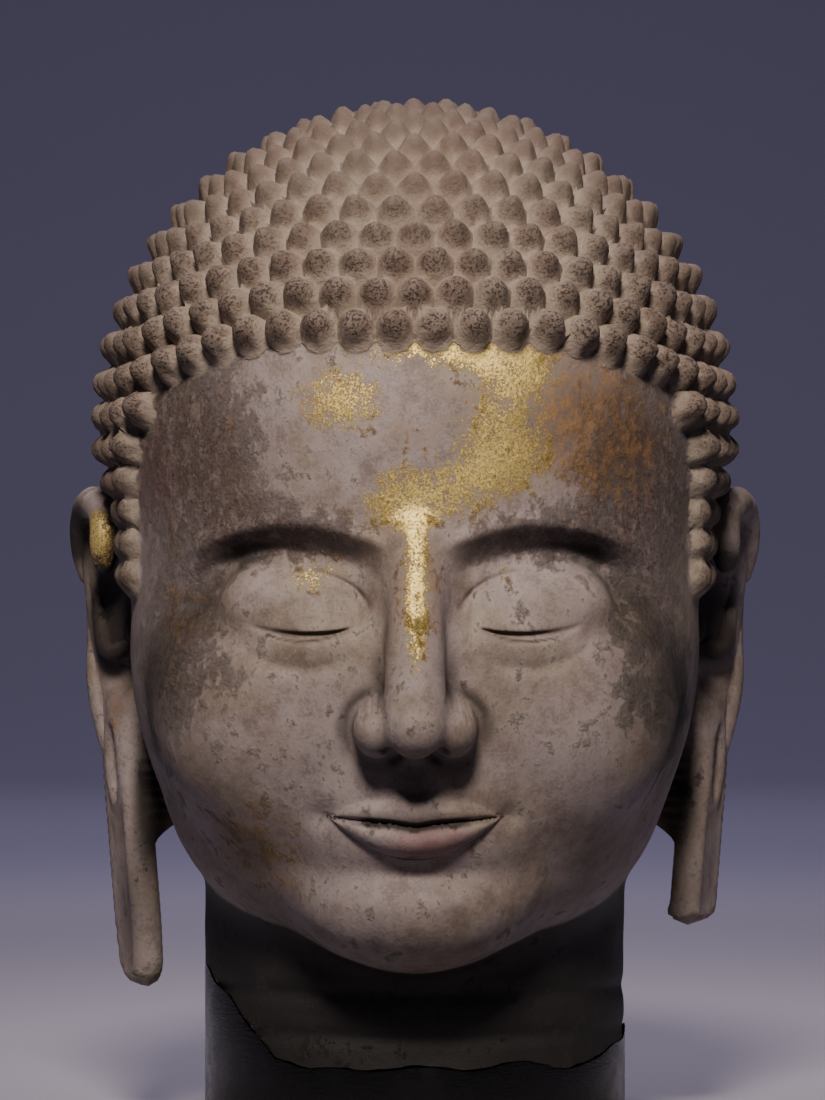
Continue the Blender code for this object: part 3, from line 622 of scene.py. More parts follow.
def curl_axes(feet):
    """Each curl's outward axis, and its own directions across and downwards."""
    axes = outward(feet)
    away = feet * (1.0, 1.0, 0.0)
    hang = 0.02 * away + (0.0, 0.0, -1.0)
    down = hang - (hang * axes).sum(axis=1)[:, None] * axes
    down = down / np.linalg.norm(down, axis=1)[:, None]
    return axes, np.cross(axes, down), down


def lot(feet, number):
    """A number from 0 to 1 for each curl, different for each of its traits."""
    return np.mod(np.sin(feet @ (12.9, 3.7, 78.2) + 4.1 * number) * 43.7, 1.0)


def nearest_curl(points, feet, axes):
    """For each point, its curl's number and how far it is from that curl's axis, in modules."""
    number = np.zeros(len(points), int)
    distance = np.full(len(points), FAR)
    for start in range(0, len(points), BATCH):
        part = points[start : start + BATCH]
        offset = part[:, None, :] - feet[None, :, :]
        along = np.einsum("ijk,jk->ij", offset, axes)
        across = np.sqrt(np.maximum((offset**2).sum(axis=2) - along**2, 0.0))
        across = np.where((along > -3.0) & (along < 5.0), across, FAR)
        number[start : start + BATCH] = across.argmin(axis=1)
        distance[start : start + BATCH] = across.min(axis=1)
    return number, distance


def curl_lift(points, number, feet, frames, pitch, height):
    """How far each point of the base rises into the curl of this number: a blunt cone, cut by hand in a few
    broad facets, that leans a little upwards."""
    across, down = frames[1:]
    reach = CURL_REACH * pitch
    offset = points - feet[number]
    u = (offset * across[number]).sum(axis=1) / reach
    v = (offset * down[number]).sum(axis=1) / reach
    inside = np.clip(1.0 - u**2 - v**2, 0.0, 1.0)
    u = u - inside * 0.16 * (lot(feet, 1)[number] - 0.5)
    v = v + inside * (0.10 + 0.14 * (lot(feet, 2)[number] - 0.5))
    turn = np.arctan2(v, u)
    facets = 0.055 * np.cos(3.0 * turn + 6.3 * lot(feet, 3)[number])
    facets = facets + 0.045 * np.cos(5.0 * turn + 6.3 * lot(feet, 4)[number])
    share = np.hypot(u, v) * (1.0 + facets * rise(inside, 0.0, 0.5))
    # The front row is rounder, and those above it are more pointed
    sharp = rise(feet[:, 2], 76.5, 82.0)[number]
    cone = 1.0 - share ** (1.75 - 0.4 * sharp + 0.3 * lot(feet, 5)[number])
    foot = 0.12
    cone = np.where(cone > foot, cone, np.clip(cone + foot, 0.0, None) ** 2 / (4.0 * foot))
    full = height * (0.99 - 0.09 * lot(feet, 6)[number]) * cone
    # The tips are rubbed blunt. One in the first row is knocked off aslant.
    limit = height * (0.92 + 0.05 * sharp - 0.05 * lot(feet, 7)[number])
    knocked = (np.linalg.norm(feet[:, [0, 2]] - (1.6, 75.6), axis=1) < 2.4) & (feet[:, 1] < 0.0)
    limit = np.where(knocked[number], height * (0.55 + 0.22 * u + 0.1 * v), limit)
    # Those in front of the ears are lower, so that the ears show
    beside = rise(np.abs(feet[:, 0]), 25.0, 28.0) * rise(-feet[:, 2], -62.0, -57.0)
    beside = beside * rise(-feet[:, 1], -6.0, -1.0)
    lift = joined(full, limit, height * (0.1 - 0.04 * sharp)) * (1.0 - 0.36 * beside[number])
    return np.maximum(lift, 0.0)


def head_mesh(pitch, height):
    """The head with its curls, as points in modules, triangles and the curls' feet and directions."""
    angle, run, feet = carving_points(pitch)
    chart = chart_of(angle, run)
    laid = delaunay_2d_cdt([Vector(c) for c in chart], [], [], 0, 1e-6)
    source = [ids[0] for ids in laid[3]]
    triangles = [tuple(source[i] for i in face) for face in laid[2]]
    triangles, valleys = curl_triangles(triangles, len(feet), chart)
    triangles, chart = np.array(triangles), np.concatenate((chart, valleys))
    places = np.column_stack((chart, rays_at(*place_on_chart(chart))[1]))
    for _ in range(2):
        triangles, places = split_in_four(triangles, places)
    points = surface_at(*place_on_chart(places[:, :2]), places[:, 2])
    frames = curl_axes(feet)
    nearest = KDTree(len(feet))
    for number, foot in enumerate(feet):
        nearest.insert(foot, number)
    nearest.balance()
    found = [nearest.find_n(point, CURLS_NEAR) for point in points]
    raised = np.array([curls[0][2] for curls in found]) < 0.8 * pitch
    numbers = np.array([[number for _, number, _ in curls] for curls in found])[raised]
    # The highest of the curls near each point, with their meeting rounded
    lifts = [curl_lift(points[raised], number, feet, frames, pitch, height) for number in numbers.T]
    lift = (np.array(lifts) ** VALLEY_POWER).sum(axis=0) ** (1.0 / VALLEY_POWER)
    lift += hand_work(points[raised] * 2.6) * rise(lift, 0.0, 0.8) * 0.5
    points[raised] += outward(points[raised]) * lift[:, None]
    return points, triangles, feet, frames


# The ears


def ear_half_width(height):
    shifts = (-0.9, -0.45, 0.0, 0.45, 0.9)
    return sum(np.interp(height + s, EAR_HEIGHTS, EAR_HALF_WIDTHS, 0.0, 0.0) for s in shifts) / 5.0


# The ear's raised edges, as tubes: back, height, outwards and radius in modules at each bend
EAR_ROLLS = (
    # The rolled top, whose front end turns down
    (
        (-4.0, 51.6, 3.8, 1.15),
        (-4.6, 53.0, 4.2, 1.60),
        (-4.8, 55.0, 3.9, 1.80),
        (-3.6, 56.9, 2.8, 1.85),
        (-1.0, 58.0, 1.5, 1.70),
        (2.4, 57.4, 1.2, 1.65),
        (5.0, 55.2, 1.0, 1.55),
        (6.2, 52.4, 0.7, 1.40),
        (6.3, 50.2, 0.4, 1.05),
    ),
    # The back edge, which widens and then runs out into the lobe
    (
        (6.0, 51.4, 0.1, 0.90),
        (5.7, 47.5, 0.1, 0.95),
        (4.9, 43.5, 0.4, 1.15),
        (3.8, 40.0, 0.9, 1.50),
        (2.9, 36.5, 1.1, 1.45),
        (2.6, 33.0, 1.0, 1.05),
        (2.7, 30.0, 0.7, 0.55),
    ),
    # The inner fold round the hollow
    (
        (2.6, 54.6, 0.2, 0.50),
        (3.4, 51.8, 0.4, 0.70),
        (3.3, 48.6, 0.5, 0.75),
        (2.2, 45.6, 0.8, 0.85),
        (0.2, 43.2, 1.3, 1.05),
        (-2.0, 42.2, 1.6, 1.15),
        (-3.4, 43.0, 1.4, 0.75),
    ),
    # The flap in front of the hollow
    (
        (-4.6, 46.6, 1.0, 0.50),
        (-4.5, 45.4, 1.7, 0.85),
        (-4.2, 44.2, 1.7, 0.80),
        (-4.0, 43.2, 1.2, 0.50),
    ),
)


def ear_relief(back, height, edge):
    """How high an ear's outer face is carved, over the distance back, the height and how far inside its
    edge a place lies."""
    high = rise(height, 38.0, 43.0)
    shell = -2.6 * bump(np.hypot((back + 0.9) / 3.3, (height - 48.6) / 3.9), 1.0) * high
    shell = shell - 2.0 * bump(np.hypot((back + 1.6) / 2.0, (height - 39.6) / 1.8), 1.0)
    upper = -1.2 * bump(np.hypot((back - 1.2) / 2.6, (height - 54.6) / 1.8), 1.0)
    slit = -2.2 * bump(np.hypot((back + 0.3) / 0.8, (height - 30.6) / 3.0), 0.95)
    slit_edge = 0.35 * bump(np.hypot((back + 0.3) / 1.8, (height - 30.6) / 4.3) - 1.0, 0.22)
    lobe_edge = 0.3 * bump(edge - 0.8, 0.6) * (1.0 - rise(height, 28.0, 36.0))
    return shell + upper + slit + slit_edge + lobe_edge


def ear_ways():
    """The directions back along an ear and outwards from it, level."""
    back_way = np.array((math.sin(EAR_FLARE), math.cos(EAR_FLARE)))
    out_way = np.array((math.cos(EAR_FLARE), -math.sin(EAR_FLARE)))
    return back_way, out_way


def ear_place(back, height, outwards):
    """Where a place of the ear is, in modules, on the side towards +X."""
    back_way, out_way = ear_ways()
    share = (height - EAR_FOOT[2]) / (EAR_TOP[2] - EAR_FOOT[2])
    middle = np.array(EAR_FOOT)[None, :2] + share[:, None] * (np.array(EAR_TOP) - np.array(EAR_FOOT))[:2]
    bend = 2.4 * rise(-back, 0.5, 6.0) * rise(height, 30.0, 42.0)
    base = middle + back[:, None] * back_way + (outwards - bend)[:, None] * out_way
    return np.column_stack((base, height))


def ear_roll(bends, side):
    """A tube through an ear's bends, rounded at both ends, as points and triangles."""
    bends = np.array(bends)
    at = np.arange(len(bends))
    fine = np.linspace(0.0, len(bends) - 1.0, 6 * len(bends))
    soft = np.stack([np.interp(fine, at, column) for column in bends.T], axis=1)
    for _ in range(6):
        soft[1:-1] = 0.5 * soft[1:-1] + 0.25 * (soft[:-2] + soft[2:])
    radius = soft[:, 3]
    line = ear_place(soft[:, 0], soft[:, 1], soft[:, 2])
    way = np.gradient(line, axis=0)
    way = way / np.linalg.norm(way, axis=1)[:, None]
    # Round ends: a few more rings that shrink to a point
    dome = np.radians((84.0, 62.0, 40.0, 20.0))
    first = [(line[0] - way[0] * radius[0] * math.sin(t), way[0], radius[0] * math.cos(t)) for t in dome]
    last = [
        (line[-1] + way[-1] * radius[-1] * math.sin(t), way[-1], radius[-1] * math.cos(t))
        for t in dome[::-1]
    ]
    rings = first + list(zip(line, way, radius)) + last
    count = 16
    turn = np.arange(count) / count * 2.0 * math.pi
    points = []
    for centre, along, size in rings:
        side_way = np.cross(along, (0.35, -0.93, 0.1))
        side_way = side_way / np.linalg.norm(side_way)
        other = np.cross(along, side_way)
        points += list(centre + size * (np.cos(turn)[:, None] * side_way + np.sin(turn)[:, None] * other))
    faces = [tuple(range(count)), tuple(reversed(range(len(points) - count, len(points))))]
    for ring in range(len(rings) - 1):
        for i in range(count):
            a, b = ring * count + i, ring * count + (i + 1) % count
            faces.append((a, a + count, b + count, b))
    points = np.array(points)
    points = points + 0.05 * hand_work(points * 4.0)[:, None]
    points[:, 0] *= side
    return points, faces


def ragged_end(across, lowest):
    """The height of a broken lobe's end, whose outer corner is chipped away."""
    return lowest + 0.35 * np.sin(across * 2.1 + 0.5) + 0.9 * rise(across, 1.2, 3.2)


def ear_mesh(side, lowest):
    """A long ear as points in modules and triangles. Its lobe ends at the lowest height."""
    step = EAR_SPACING
    broken = lowest > EAR_HEIGHTS[0]
    outline_z = np.arange(lowest + (0.9 if broken else 0.35), 58.75, step)
    front = np.stack((-ear_half_width(outline_z), outline_z), axis=1)
    back = np.stack((ear_half_width(outline_z), outline_z), axis=1)[::-1]
    outline = np.vstack((front, back))
    if broken:
        across = np.linspace(3.0, -3.0, 9)
        outline = np.vstack((outline, np.stack((across, ragged_end(across, lowest)), axis=1)))
    ahead = np.roll(outline, -1, axis=0)
    rows = []
    for number, height in enumerate(np.arange(lowest + 0.3, 58.6, step * 0.866)):
        half = float(ear_half_width(height))
        offsets = np.arange(-half, half, step) + 0.5 * step * (number % 2)
        rows.append(np.stack((offsets, np.full(len(offsets), height)), axis=1))
    grid = np.concatenate(rows)
    along = ahead - outline
    offset = grid[:, None, :] - outline[None, :, :]
    share = np.clip((offset * along).sum(axis=2) / np.maximum((along**2).sum(axis=1), 1e-9), 0.0, 1.0)
    gaps = np.linalg.norm(offset - share[:, :, None] * along, axis=2).min(axis=1)
    inside = np.abs(grid[:, 0]) < ear_half_width(grid[:, 1])
    if broken:
        inside &= grid[:, 1] > ragged_end(grid[:, 0], lowest)
    keep = inside & (gaps > 0.4 * step)
    grid, gaps = grid[keep], gaps[keep]
    flat = np.vstack((outline, grid))
    edge = np.concatenate((np.zeros(len(outline)), gaps))
    sides = [(i, (i + 1) % len(outline)) for i in range(len(outline))]
    laid = delaunay_2d_cdt([Vector(f) for f in flat], sides, [], 1, 1e-6)
    triangles = [tuple(laid[3][i][0] for i in face) for face in laid[2]]
    rounding = 1.0 - np.clip(edge / EAR_ROUNDING, 0.0, 1.0)
    half_thick = EAR_THICK * np.sqrt(np.maximum(1.0 - rounding**2, 0.0))
    if broken:
        # The fractured end is blunt, not rounded
        blunt = 1.0 - rise(flat[:, 1], lowest + 1.2, lowest + 2.4)
        side_edge = ear_half_width(flat[:, 1]) - np.abs(flat[:, 0])
        inwards = np.clip(np.maximum(side_edge, edge * 3.0) / EAR_ROUNDING, 0, 1)
        blunt_thick = EAR_THICK * np.sqrt(1.0 - (1.0 - inwards) ** 2)
        half_thick = half_thick + (np.minimum(blunt_thick, edge * 3.5) - half_thick) * blunt
    relief = ear_relief(flat[:, 0], flat[:, 1], edge) * rise(edge, 0.0, 0.9)
    outer = np.maximum(half_thick + relief, -0.6 * half_thick)
    outer_points = ear_place(flat[:, 0], flat[:, 1], outer)
    inner_points = ear_place(flat[:, 0], flat[:, 1], -half_thick)
    root = rise(-flat[:, 0], -1.5, 0.8) * rise(flat[:, 1], 22.0, 27.0) * rise(edge, 0.1, 1.2)
    depth = root * (np.maximum(head_distance(inner_points), 0.0) * 1.15 + 1.6)
    inner_points[:, :2] -= depth[:, None] * ear_ways()[1]
    rim = len(outline)
    points = np.vstack((outer_points, inner_points[rim:]))
    points[:, :3] += 0.05 * hand_work(points * 3.0)[:, None]
    points[:, 0] *= side
    lower = {i: i if i < rim else i + len(flat) - rim for i in range(len(flat))}
    faces = triangles + [tuple(lower[i] for i in reversed(face)) for face in triangles]
    return points, faces


# The break and what is cut to it


def break_height(x, y):
    """The height of the neck's break."""
    start, end, climb = BREAK_CLIMB
    left_start, left_end, left_climb = BREAK_LEFT_CLIMB
    side = climb * np.clip((-x - start) / (end - start), 0.0, 1.0) ** 0.85
    side = side + left_climb * rise(x, left_start, left_end)
    ripple = np.sin(0.52 * x + 0.31 * y + 0.6) + 0.7 * np.sin(0.83 * y - 0.37 * x) + 1.1
    return side + BREAK_RIPPLE * ripple * 0.9


def fracture(x, y):
    """Small facets that the break adds above the stand's fitted top, never below it."""
    facets = np.sin(1.9 * x + 1.1 * y) * np.sin(1.3 * y - 2.2 * x + 0.7)
    return 0.14 * (1.0 + facets)


def neck_ring(share):
    turn = (np.arange(BREAK_SIDES) + 0.5) / BREAK_SIDES * 2.0 * math.pi
    x = share * NECK_HALF[0] * np.cos(turn)
    y = share * NECK_HALF[1] * np.sin(turn) + NECK_CENTRE_Y
    return x, y


def block_mesh(shares, lower_rings, rough):
    """A block under the break: its top follows the break at these shares of the neck's section, and the
    rings of (share, height) below close it."""
    points, faces = [(0.0, NECK_CENTRE_Y, float(break_height(0.0, NECK_CENTRE_Y)))], []
    for share in shares:
        x, y = neck_ring(share)
        top = break_height(x, y) + (fracture(x, y) if rough else 0.0)
        points += list(zip(x, y, top))
    for share, height in lower_rings:
        x, y = neck_ring(share)
        points += [(a, b, height) for a, b in zip(x, y)]
    n = BREAK_SIDES
    for i in range(n):
        faces.append((0, 1 + i, 1 + (i + 1) % n))
    for ring in range(len(shares) + len(lower_rings) - 1):
        a, b = 1 + ring * n, 1 + (ring + 1) * n
        for i in range(n):
            j = (i + 1) % n
            faces += [(a + i, b + i, b + j), (a + i, b + j, a + j)]
    last = 1 + (len(shares) + len(lower_rings) - 1) * n
    faces.append(tuple(last + i for i in reversed(range(n))))
    return np.array(points), faces


# Objects


def to_metres(points):
    return points * MODULE + np.array((0.0, -NECK_CENTRE_Y * MODULE, SEAT_Z))


def mesh_object(name, points, faces, finishes):
    """A closed mesh with its faces turned outwards and an open rim closed by one face."""
    mesh = bpy.data.meshes.new(name)
    mesh.from_pydata([tuple(p) for p in points], [], [tuple(int(i) for i in f) for f in faces])
    made = bpy.data.objects.new(name, mesh)
    bpy.context.scene.collection.objects.link(made)
    for finish in finishes:
        mesh.materials.append(finish)
    work = bmesh.new()
    work.from_mesh(mesh)
    open_edges = [edge for edge in work.edges if len(edge.link_faces) == 1]
    if open_edges:
        bmesh.ops.contextual_create(work, geom=open_edges)
    bmesh.ops.recalc_face_normals(work, faces=work.faces)
    bmesh.ops.triangulate(work, faces=[face for face in work.faces if len(face.verts) > 3])
    work.to_mesh(mesh)
    work.free()
    return made


def combine(target, other, operation):
    """Joins or cuts the target with another object, which is then removed."""
    change = target.modifiers.new(other.name, "BOOLEAN")
    change.operation = operation
    change.solver = "MANIFOLD"
    change.object = other
    graph = bpy.context.evaluated_depsgraph_get()
    made = bpy.data.meshes.new_from_object(target.evaluated_get(graph))
    if len(made.polygons) < 100:
        raise RuntimeError(f"{target.name} was lost when it met {other.name}")
    target.modifiers.remove(change)
    before = target.data
    target.data = made
    bpy.data.meshes.remove(before)
    bpy.data.objects.remove(other, do_unlink=True)


def points_of(mesh):
    flat = np.empty(len(mesh.vertices) * 3, np.float32)
    mesh.vertices.foreach_get("co", flat)
    return flat.reshape(-1, 3).astype(float)


def set_values(mesh, name, values):
    """Stores a number for each of the mesh's points, for a material to read."""
    layer = mesh.attributes.new(name, "FLOAT", "POINT")
    layer.data.foreach_set("value", values.astype(np.float32))


# Materials

NOISE = "ShaderNodeTexNoise"
CELLS = "ShaderNodeTexVoronoi"
MATH = "ShaderNodeMath"
MIX = "ShaderNodeMix"
RANGE = "ShaderNodeMapRange"
VECTOR = "ShaderNodeVectorMath"
STORED = "ShaderNodeAttribute"

# Settings that many nodes share, before their inputs
SMOOTH = {"interpolation_type": "SMOOTHSTEP"}
TIMES = {"operation": "MULTIPLY"}
TIMES_PLUS = {"operation": "MULTIPLY_ADD"}
TINT = {"data_type": "RGBA"}


def add(tree, kind, settings, output=0):
    """Adds a node and returns one of its outputs.

    Settings give each of its properties a value, and each of its sockets a value or another output."""
    node = tree.nodes.new(kind)
    for name, value in settings.items():
        if isinstance(name, str) and name not in node.inputs:
            setattr(node, name, value)
        elif isinstance(value, bpy.types.NodeSocket):
            tree.links.new(value, node.inputs[name])
        else:
            node.inputs[name].default_value = value
    return node.outputs[output]


def new_material(name):
    """A new material, its node tree, its shader and the place on the object in metres."""
    made = bpy.data.materials.new(name)
    made.use_nodes = True
    tree = made.node_tree
    place = add(tree, "ShaderNodeTexCoord", {}, "Object")
    return made, tree, tree.nodes["Principled BSDF"], place


def soft_spots(points, patches):
    """How strongly each point lies in any of several soft patches of the head.

    Each patch is a centre and a reach in modules, then its strength in the middle."""
    total = np.zeros(len(points))
    for centre, reach, strength in patches:
        total += strength * (1.0 - rise(np.linalg.norm((points - centre) / reach, axis=1), 0.0, 1.0))
    return total


# Where gold leaf is left
GOLD_PATCHES = (
    ((2.5, -33.0, 73.0), (11.0, 8.0, 4.2), 1.35),
    ((11.0, -32.0, 71.2), (9.0, 8.0, 5.4), 1.3),
    ((8.6, -33.0, 64.6), (8.0, 9.0, 8.0), 1.1),
    ((-7.6, -33.0, 67.6), (9.5, 9.0, 6.8), 1.1),
    ((4.6, -33.0, 59.0), (12.5, 9.0, 7.0), 1.0),
    ((-2.5, -33.5, 57.0), (8.5, 9.0, 6.5), 0.8),
    ((0.2, -36.0, 48.5), (2.4, 8.0, 15.5), 1.4),
    ((-10.0, -31.0, 50.6), (6.5, 8.0, 4.4), 0.95),
    ((9.5, -30.0, 50.8), (6.0, 8.0, 3.8), 0.6),
    ((-33.0, 1.0, 54.4), (3.6, 9.0, 5.2), 1.6),
    ((-13.5, -26.0, 23.5), (7.5, 9.0, 7.5), 0.5),
    ((-32.6, 0.0, 36.4), (2.6, 9.0, 4.6), 1.1),
    ((14.0, -30.0, 62.0), (8.0, 8.0, 8.0), 0.5),
)
# Where the ochre clay that carried the gold shows
CLAY_PATCHES = (
    ((18.0, -25.0, 65.0), (14.0, 16.0, 14.5), 1.35),
    ((3.0, -33.0, 65.0), (17.0, 8.0, 13.0), 0.6),
    ((0.5, -36.0, 49.0), (6.0, 8.0, 13.0), 0.75),
    ((-16.5, -24.0, 23.0), (12.0, 12.0, 11.0), 0.85),
    ((20.0, -20.0, 33.0), (11.0, 12.0, 12.0), 0.6),
    ((-22.0, -22.0, 46.0), (11.0, 12.0, 12.0), 0.6),
    ((-31.0, 2.0, 37.0), (4.0, 9.0, 8.0), 0.9),
    ((-17.0, -26.0, 68.0), (9.0, 9.0, 8.0), 0.45),
)
# Where the clay and the stone under it are crusted and crackled
CRUST_PATCHES = (
    ((-22.0, -20.0, 63.0), (15.0, 18.0, 17.0), 1.0),
    ((23.0, -20.0, 60.0), (13.0, 18.0, 17.0), 0.9),
    ((-14.0, -29.0, 54.5), (15.0, 10.0, 5.0), 0.8),
    ((14.0, -29.0, 54.5), (15.0, 10.0, 5.0), 0.7),
    ((-21.0, -18.0, 41.0), (12.5, 16.0, 16.0), 1.0),
    ((-15.0, -24.0, 24.0), (10.0, 10.0, 10.0), 0.2),
    ((21.5, -17.0, 40.0), (12.0, 16.0, 16.0), 1.0),
)
# Where a purplish red is left: a lip, both temples and an ear
RED_PATCHES = (
    ((1.8, -33.0, 23.8), (7.5, 6.0, 3.4), 1.3),
    ((-25.0, -14.0, 60.0), (7.0, 12.0, 12.0), 0.7),
    ((-31.5, 2.0, 42.0), (3.4, 9.0, 8.0), 0.7),
    ((-20.0, -20.0, 33.0), (9.0, 12.0, 10.0), 0.4),
    ((22.0, -20.0, 58.0), (8.0, 12.0, 9.0), 0.4),
)
# Where shade is painted into the stone's colour: the hollows of the ears, behind the lobes and thinly on the
# cheeks
SHADE_PATCHES = (
    ((31.5, 1.0, 46.5), (6.5, 13.0, 10.5), 2.2),
    ((-31.6, 3.0, 46.4), (5.4, 13.0, 9.6), 3.4),
    ((21.0, -18.0, 38.5), (12.5, 17.0, 14.0), 1.25),
    ((-21.5, -18.0, 38.5), (12.0, 17.0, 14.0), 0.9),
    ((-36.0, 9.0, 54.0), (3.0, 9.0, 6.0), 1.6),
    ((-29.0, 3.0, 16.0), (4.5, 12.0, 13.0), 0.7),
    ((27.5, 3.0, 27.0), (3.6, 8.0, 11.0), 1.2),
    ((-27.5, 3.0, 27.0), (3.6, 8.0, 11.0), 1.2),
)
# The values that the stone's finish reads, one for each kind of patch
PATCHES = {
    "gold_left": GOLD_PATCHES,
    "clay_left": CLAY_PATCHES,
    "crusted": CRUST_PATCHES,
    "reddened": RED_PATCHES,
    "painted_shade": SHADE_PATCHES,
}


def broken_up(tree, mask, noises, start, end, most=1.0):
    """A mask whose edge other values break up, each added with its own weight. It rises from start to end."""
    for noise, weight in noises:
        mask = add(tree, MATH, {**TIMES_PLUS, 0: noise, 1: weight, 2: mask})
    return add(tree, RANGE, {**SMOOTH, 0: mask, 1: start, 2: end, 4: most})


def dusty_curls(tree, place, colours):
    """The tone and the relief of the carved hair: the same stone, never polished, pitted and dusty.

    The eye sees matt grey-brown points, darker and pitted in front, with pale dust round their feet; shade is
    painted onto their tips and into the deepest seams between them."""
    out = add(tree, STORED, {"attribute_name": "curl_out"}, "Fac")
    kind = add(tree, STORED, {"attribute_name": "curl_kind"}, "Fac")
    height = add(tree, "ShaderNodeSeparateXYZ", {0: place}, "Z")
    ahead = add(tree, "ShaderNodeSeparateXYZ", {0: place}, "Y")
    # Clouding over 50 mm, blotches over 12 mm, grain near 2 mm and pits near 1.5 mm
    cloud = add(tree, NOISE, {"Vector": place, "Scale": 20.0, "Detail": 4.0})
    blotch = add(tree, NOISE, {"Vector": place, "Scale": 85.0, "Detail": 8.0, "Roughness": 0.7})
    grain = add(tree, NOISE, {"Vector": place, "Scale": 480.0, "Detail": 5.0, "Roughness": 0.75})
    pits = add(tree, NOISE, {"Vector": place, "Scale": 640.0, "Detail": 2.0, "Roughness": 0.6})
    warm = add(tree, RANGE, {**SMOOTH, 0: cloud, 1: 0.36, 2: 0.64})
    dark = add(tree, RANGE, {**SMOOTH, 0: kind, 1: 0.45, 2: 1.0, 4: 0.4})
    mottled = broken_up(tree, blotch, ((grain, 0.6),), 0.68, 0.98, 0.5)
    # The front rows keep the most dirt, in pits on the faces of the curls
    low, high = SEAT_Z + 75.0 * MODULE, SEAT_Z + 95.0 * MODULE
    lower = add(tree, RANGE, {**SMOOTH, 0: height, 1: high, 2: low})
    front = add(tree, RANGE, {**SMOOTH, 0: ahead, 1: -0.04, 2: -0.12})
    pitted = add(tree, MATH, {**TIMES, 0: lower, 1: front})
    # Each curl's middle, round its tip, is darkened: painted shade on the curls' front ends
    face = broken_up(tree, out, ((blotch, -0.5),), 0.60, 0.10, 0.6)
    inner = add(tree, RANGE, {**SMOOTH, 0: out, 1: 0.95, 2: 0.45, 3: 0.1, 4: 1.0})
    pitted = add(tree, MATH, {**TIMES, 0: pitted, 1: inner})
    caked = broken_up(tree, blotch, ((grain, 0.9),), 1.06, 0.80, 0.8)
    caked = add(tree, MATH, {**TIMES, 0: caked, 1: pitted})
    specks = add(tree, RANGE, {**SMOOTH, 0: pits, 1: 0.47, 2: 0.38})
    specks = add(tree, MATH, {**TIMES, 0: specks, 1: pitted})
    speck_dirt = add(tree, MATH, {**TIMES, 0: specks, 1: 0.8})
    # Pale dust lies round the feet, and the deepest seams between them are darkened with painted shade
    settled = broken_up(tree, out, ((blotch, 0.5),), 0.80, 1.15, 0.5)
    seam_shade = broken_up(tree, out, ((blotch, 0.2),), 1.08, 1.26, 0.45)
    tone = colours.dusty_hair
    for mask, colour in (
        (warm, colours.warm_hair),
        (dark, colours.dark_hair_and_shade),
        (mottled, colours.hair_dust),
        (face, colours.dark_hair_and_shade),
        (caked, colours.pore_dirt),
        (speck_dirt, colours.soot_and_shade),
        (settled, colours.hair_dust),
        (seam_shade, colours.valley_shade),
    ):
        tone = add(tree, MIX, {**TINT, 0: mask, 6: tone, 7: colour}, 2)
    # Relief in metres: at most 0.45 mm for the grain, 1.8 mm for blotches and 0.7 mm for pits
    relief = 0.0
    for noise, depth in ((grain, 0.00045), (blotch, 0.0018), (specks, -0.0007)):
        relief = add(tree, MATH, {**TIMES_PLUS, 0: noise, 1: depth, 2: relief})
    return tone, relief


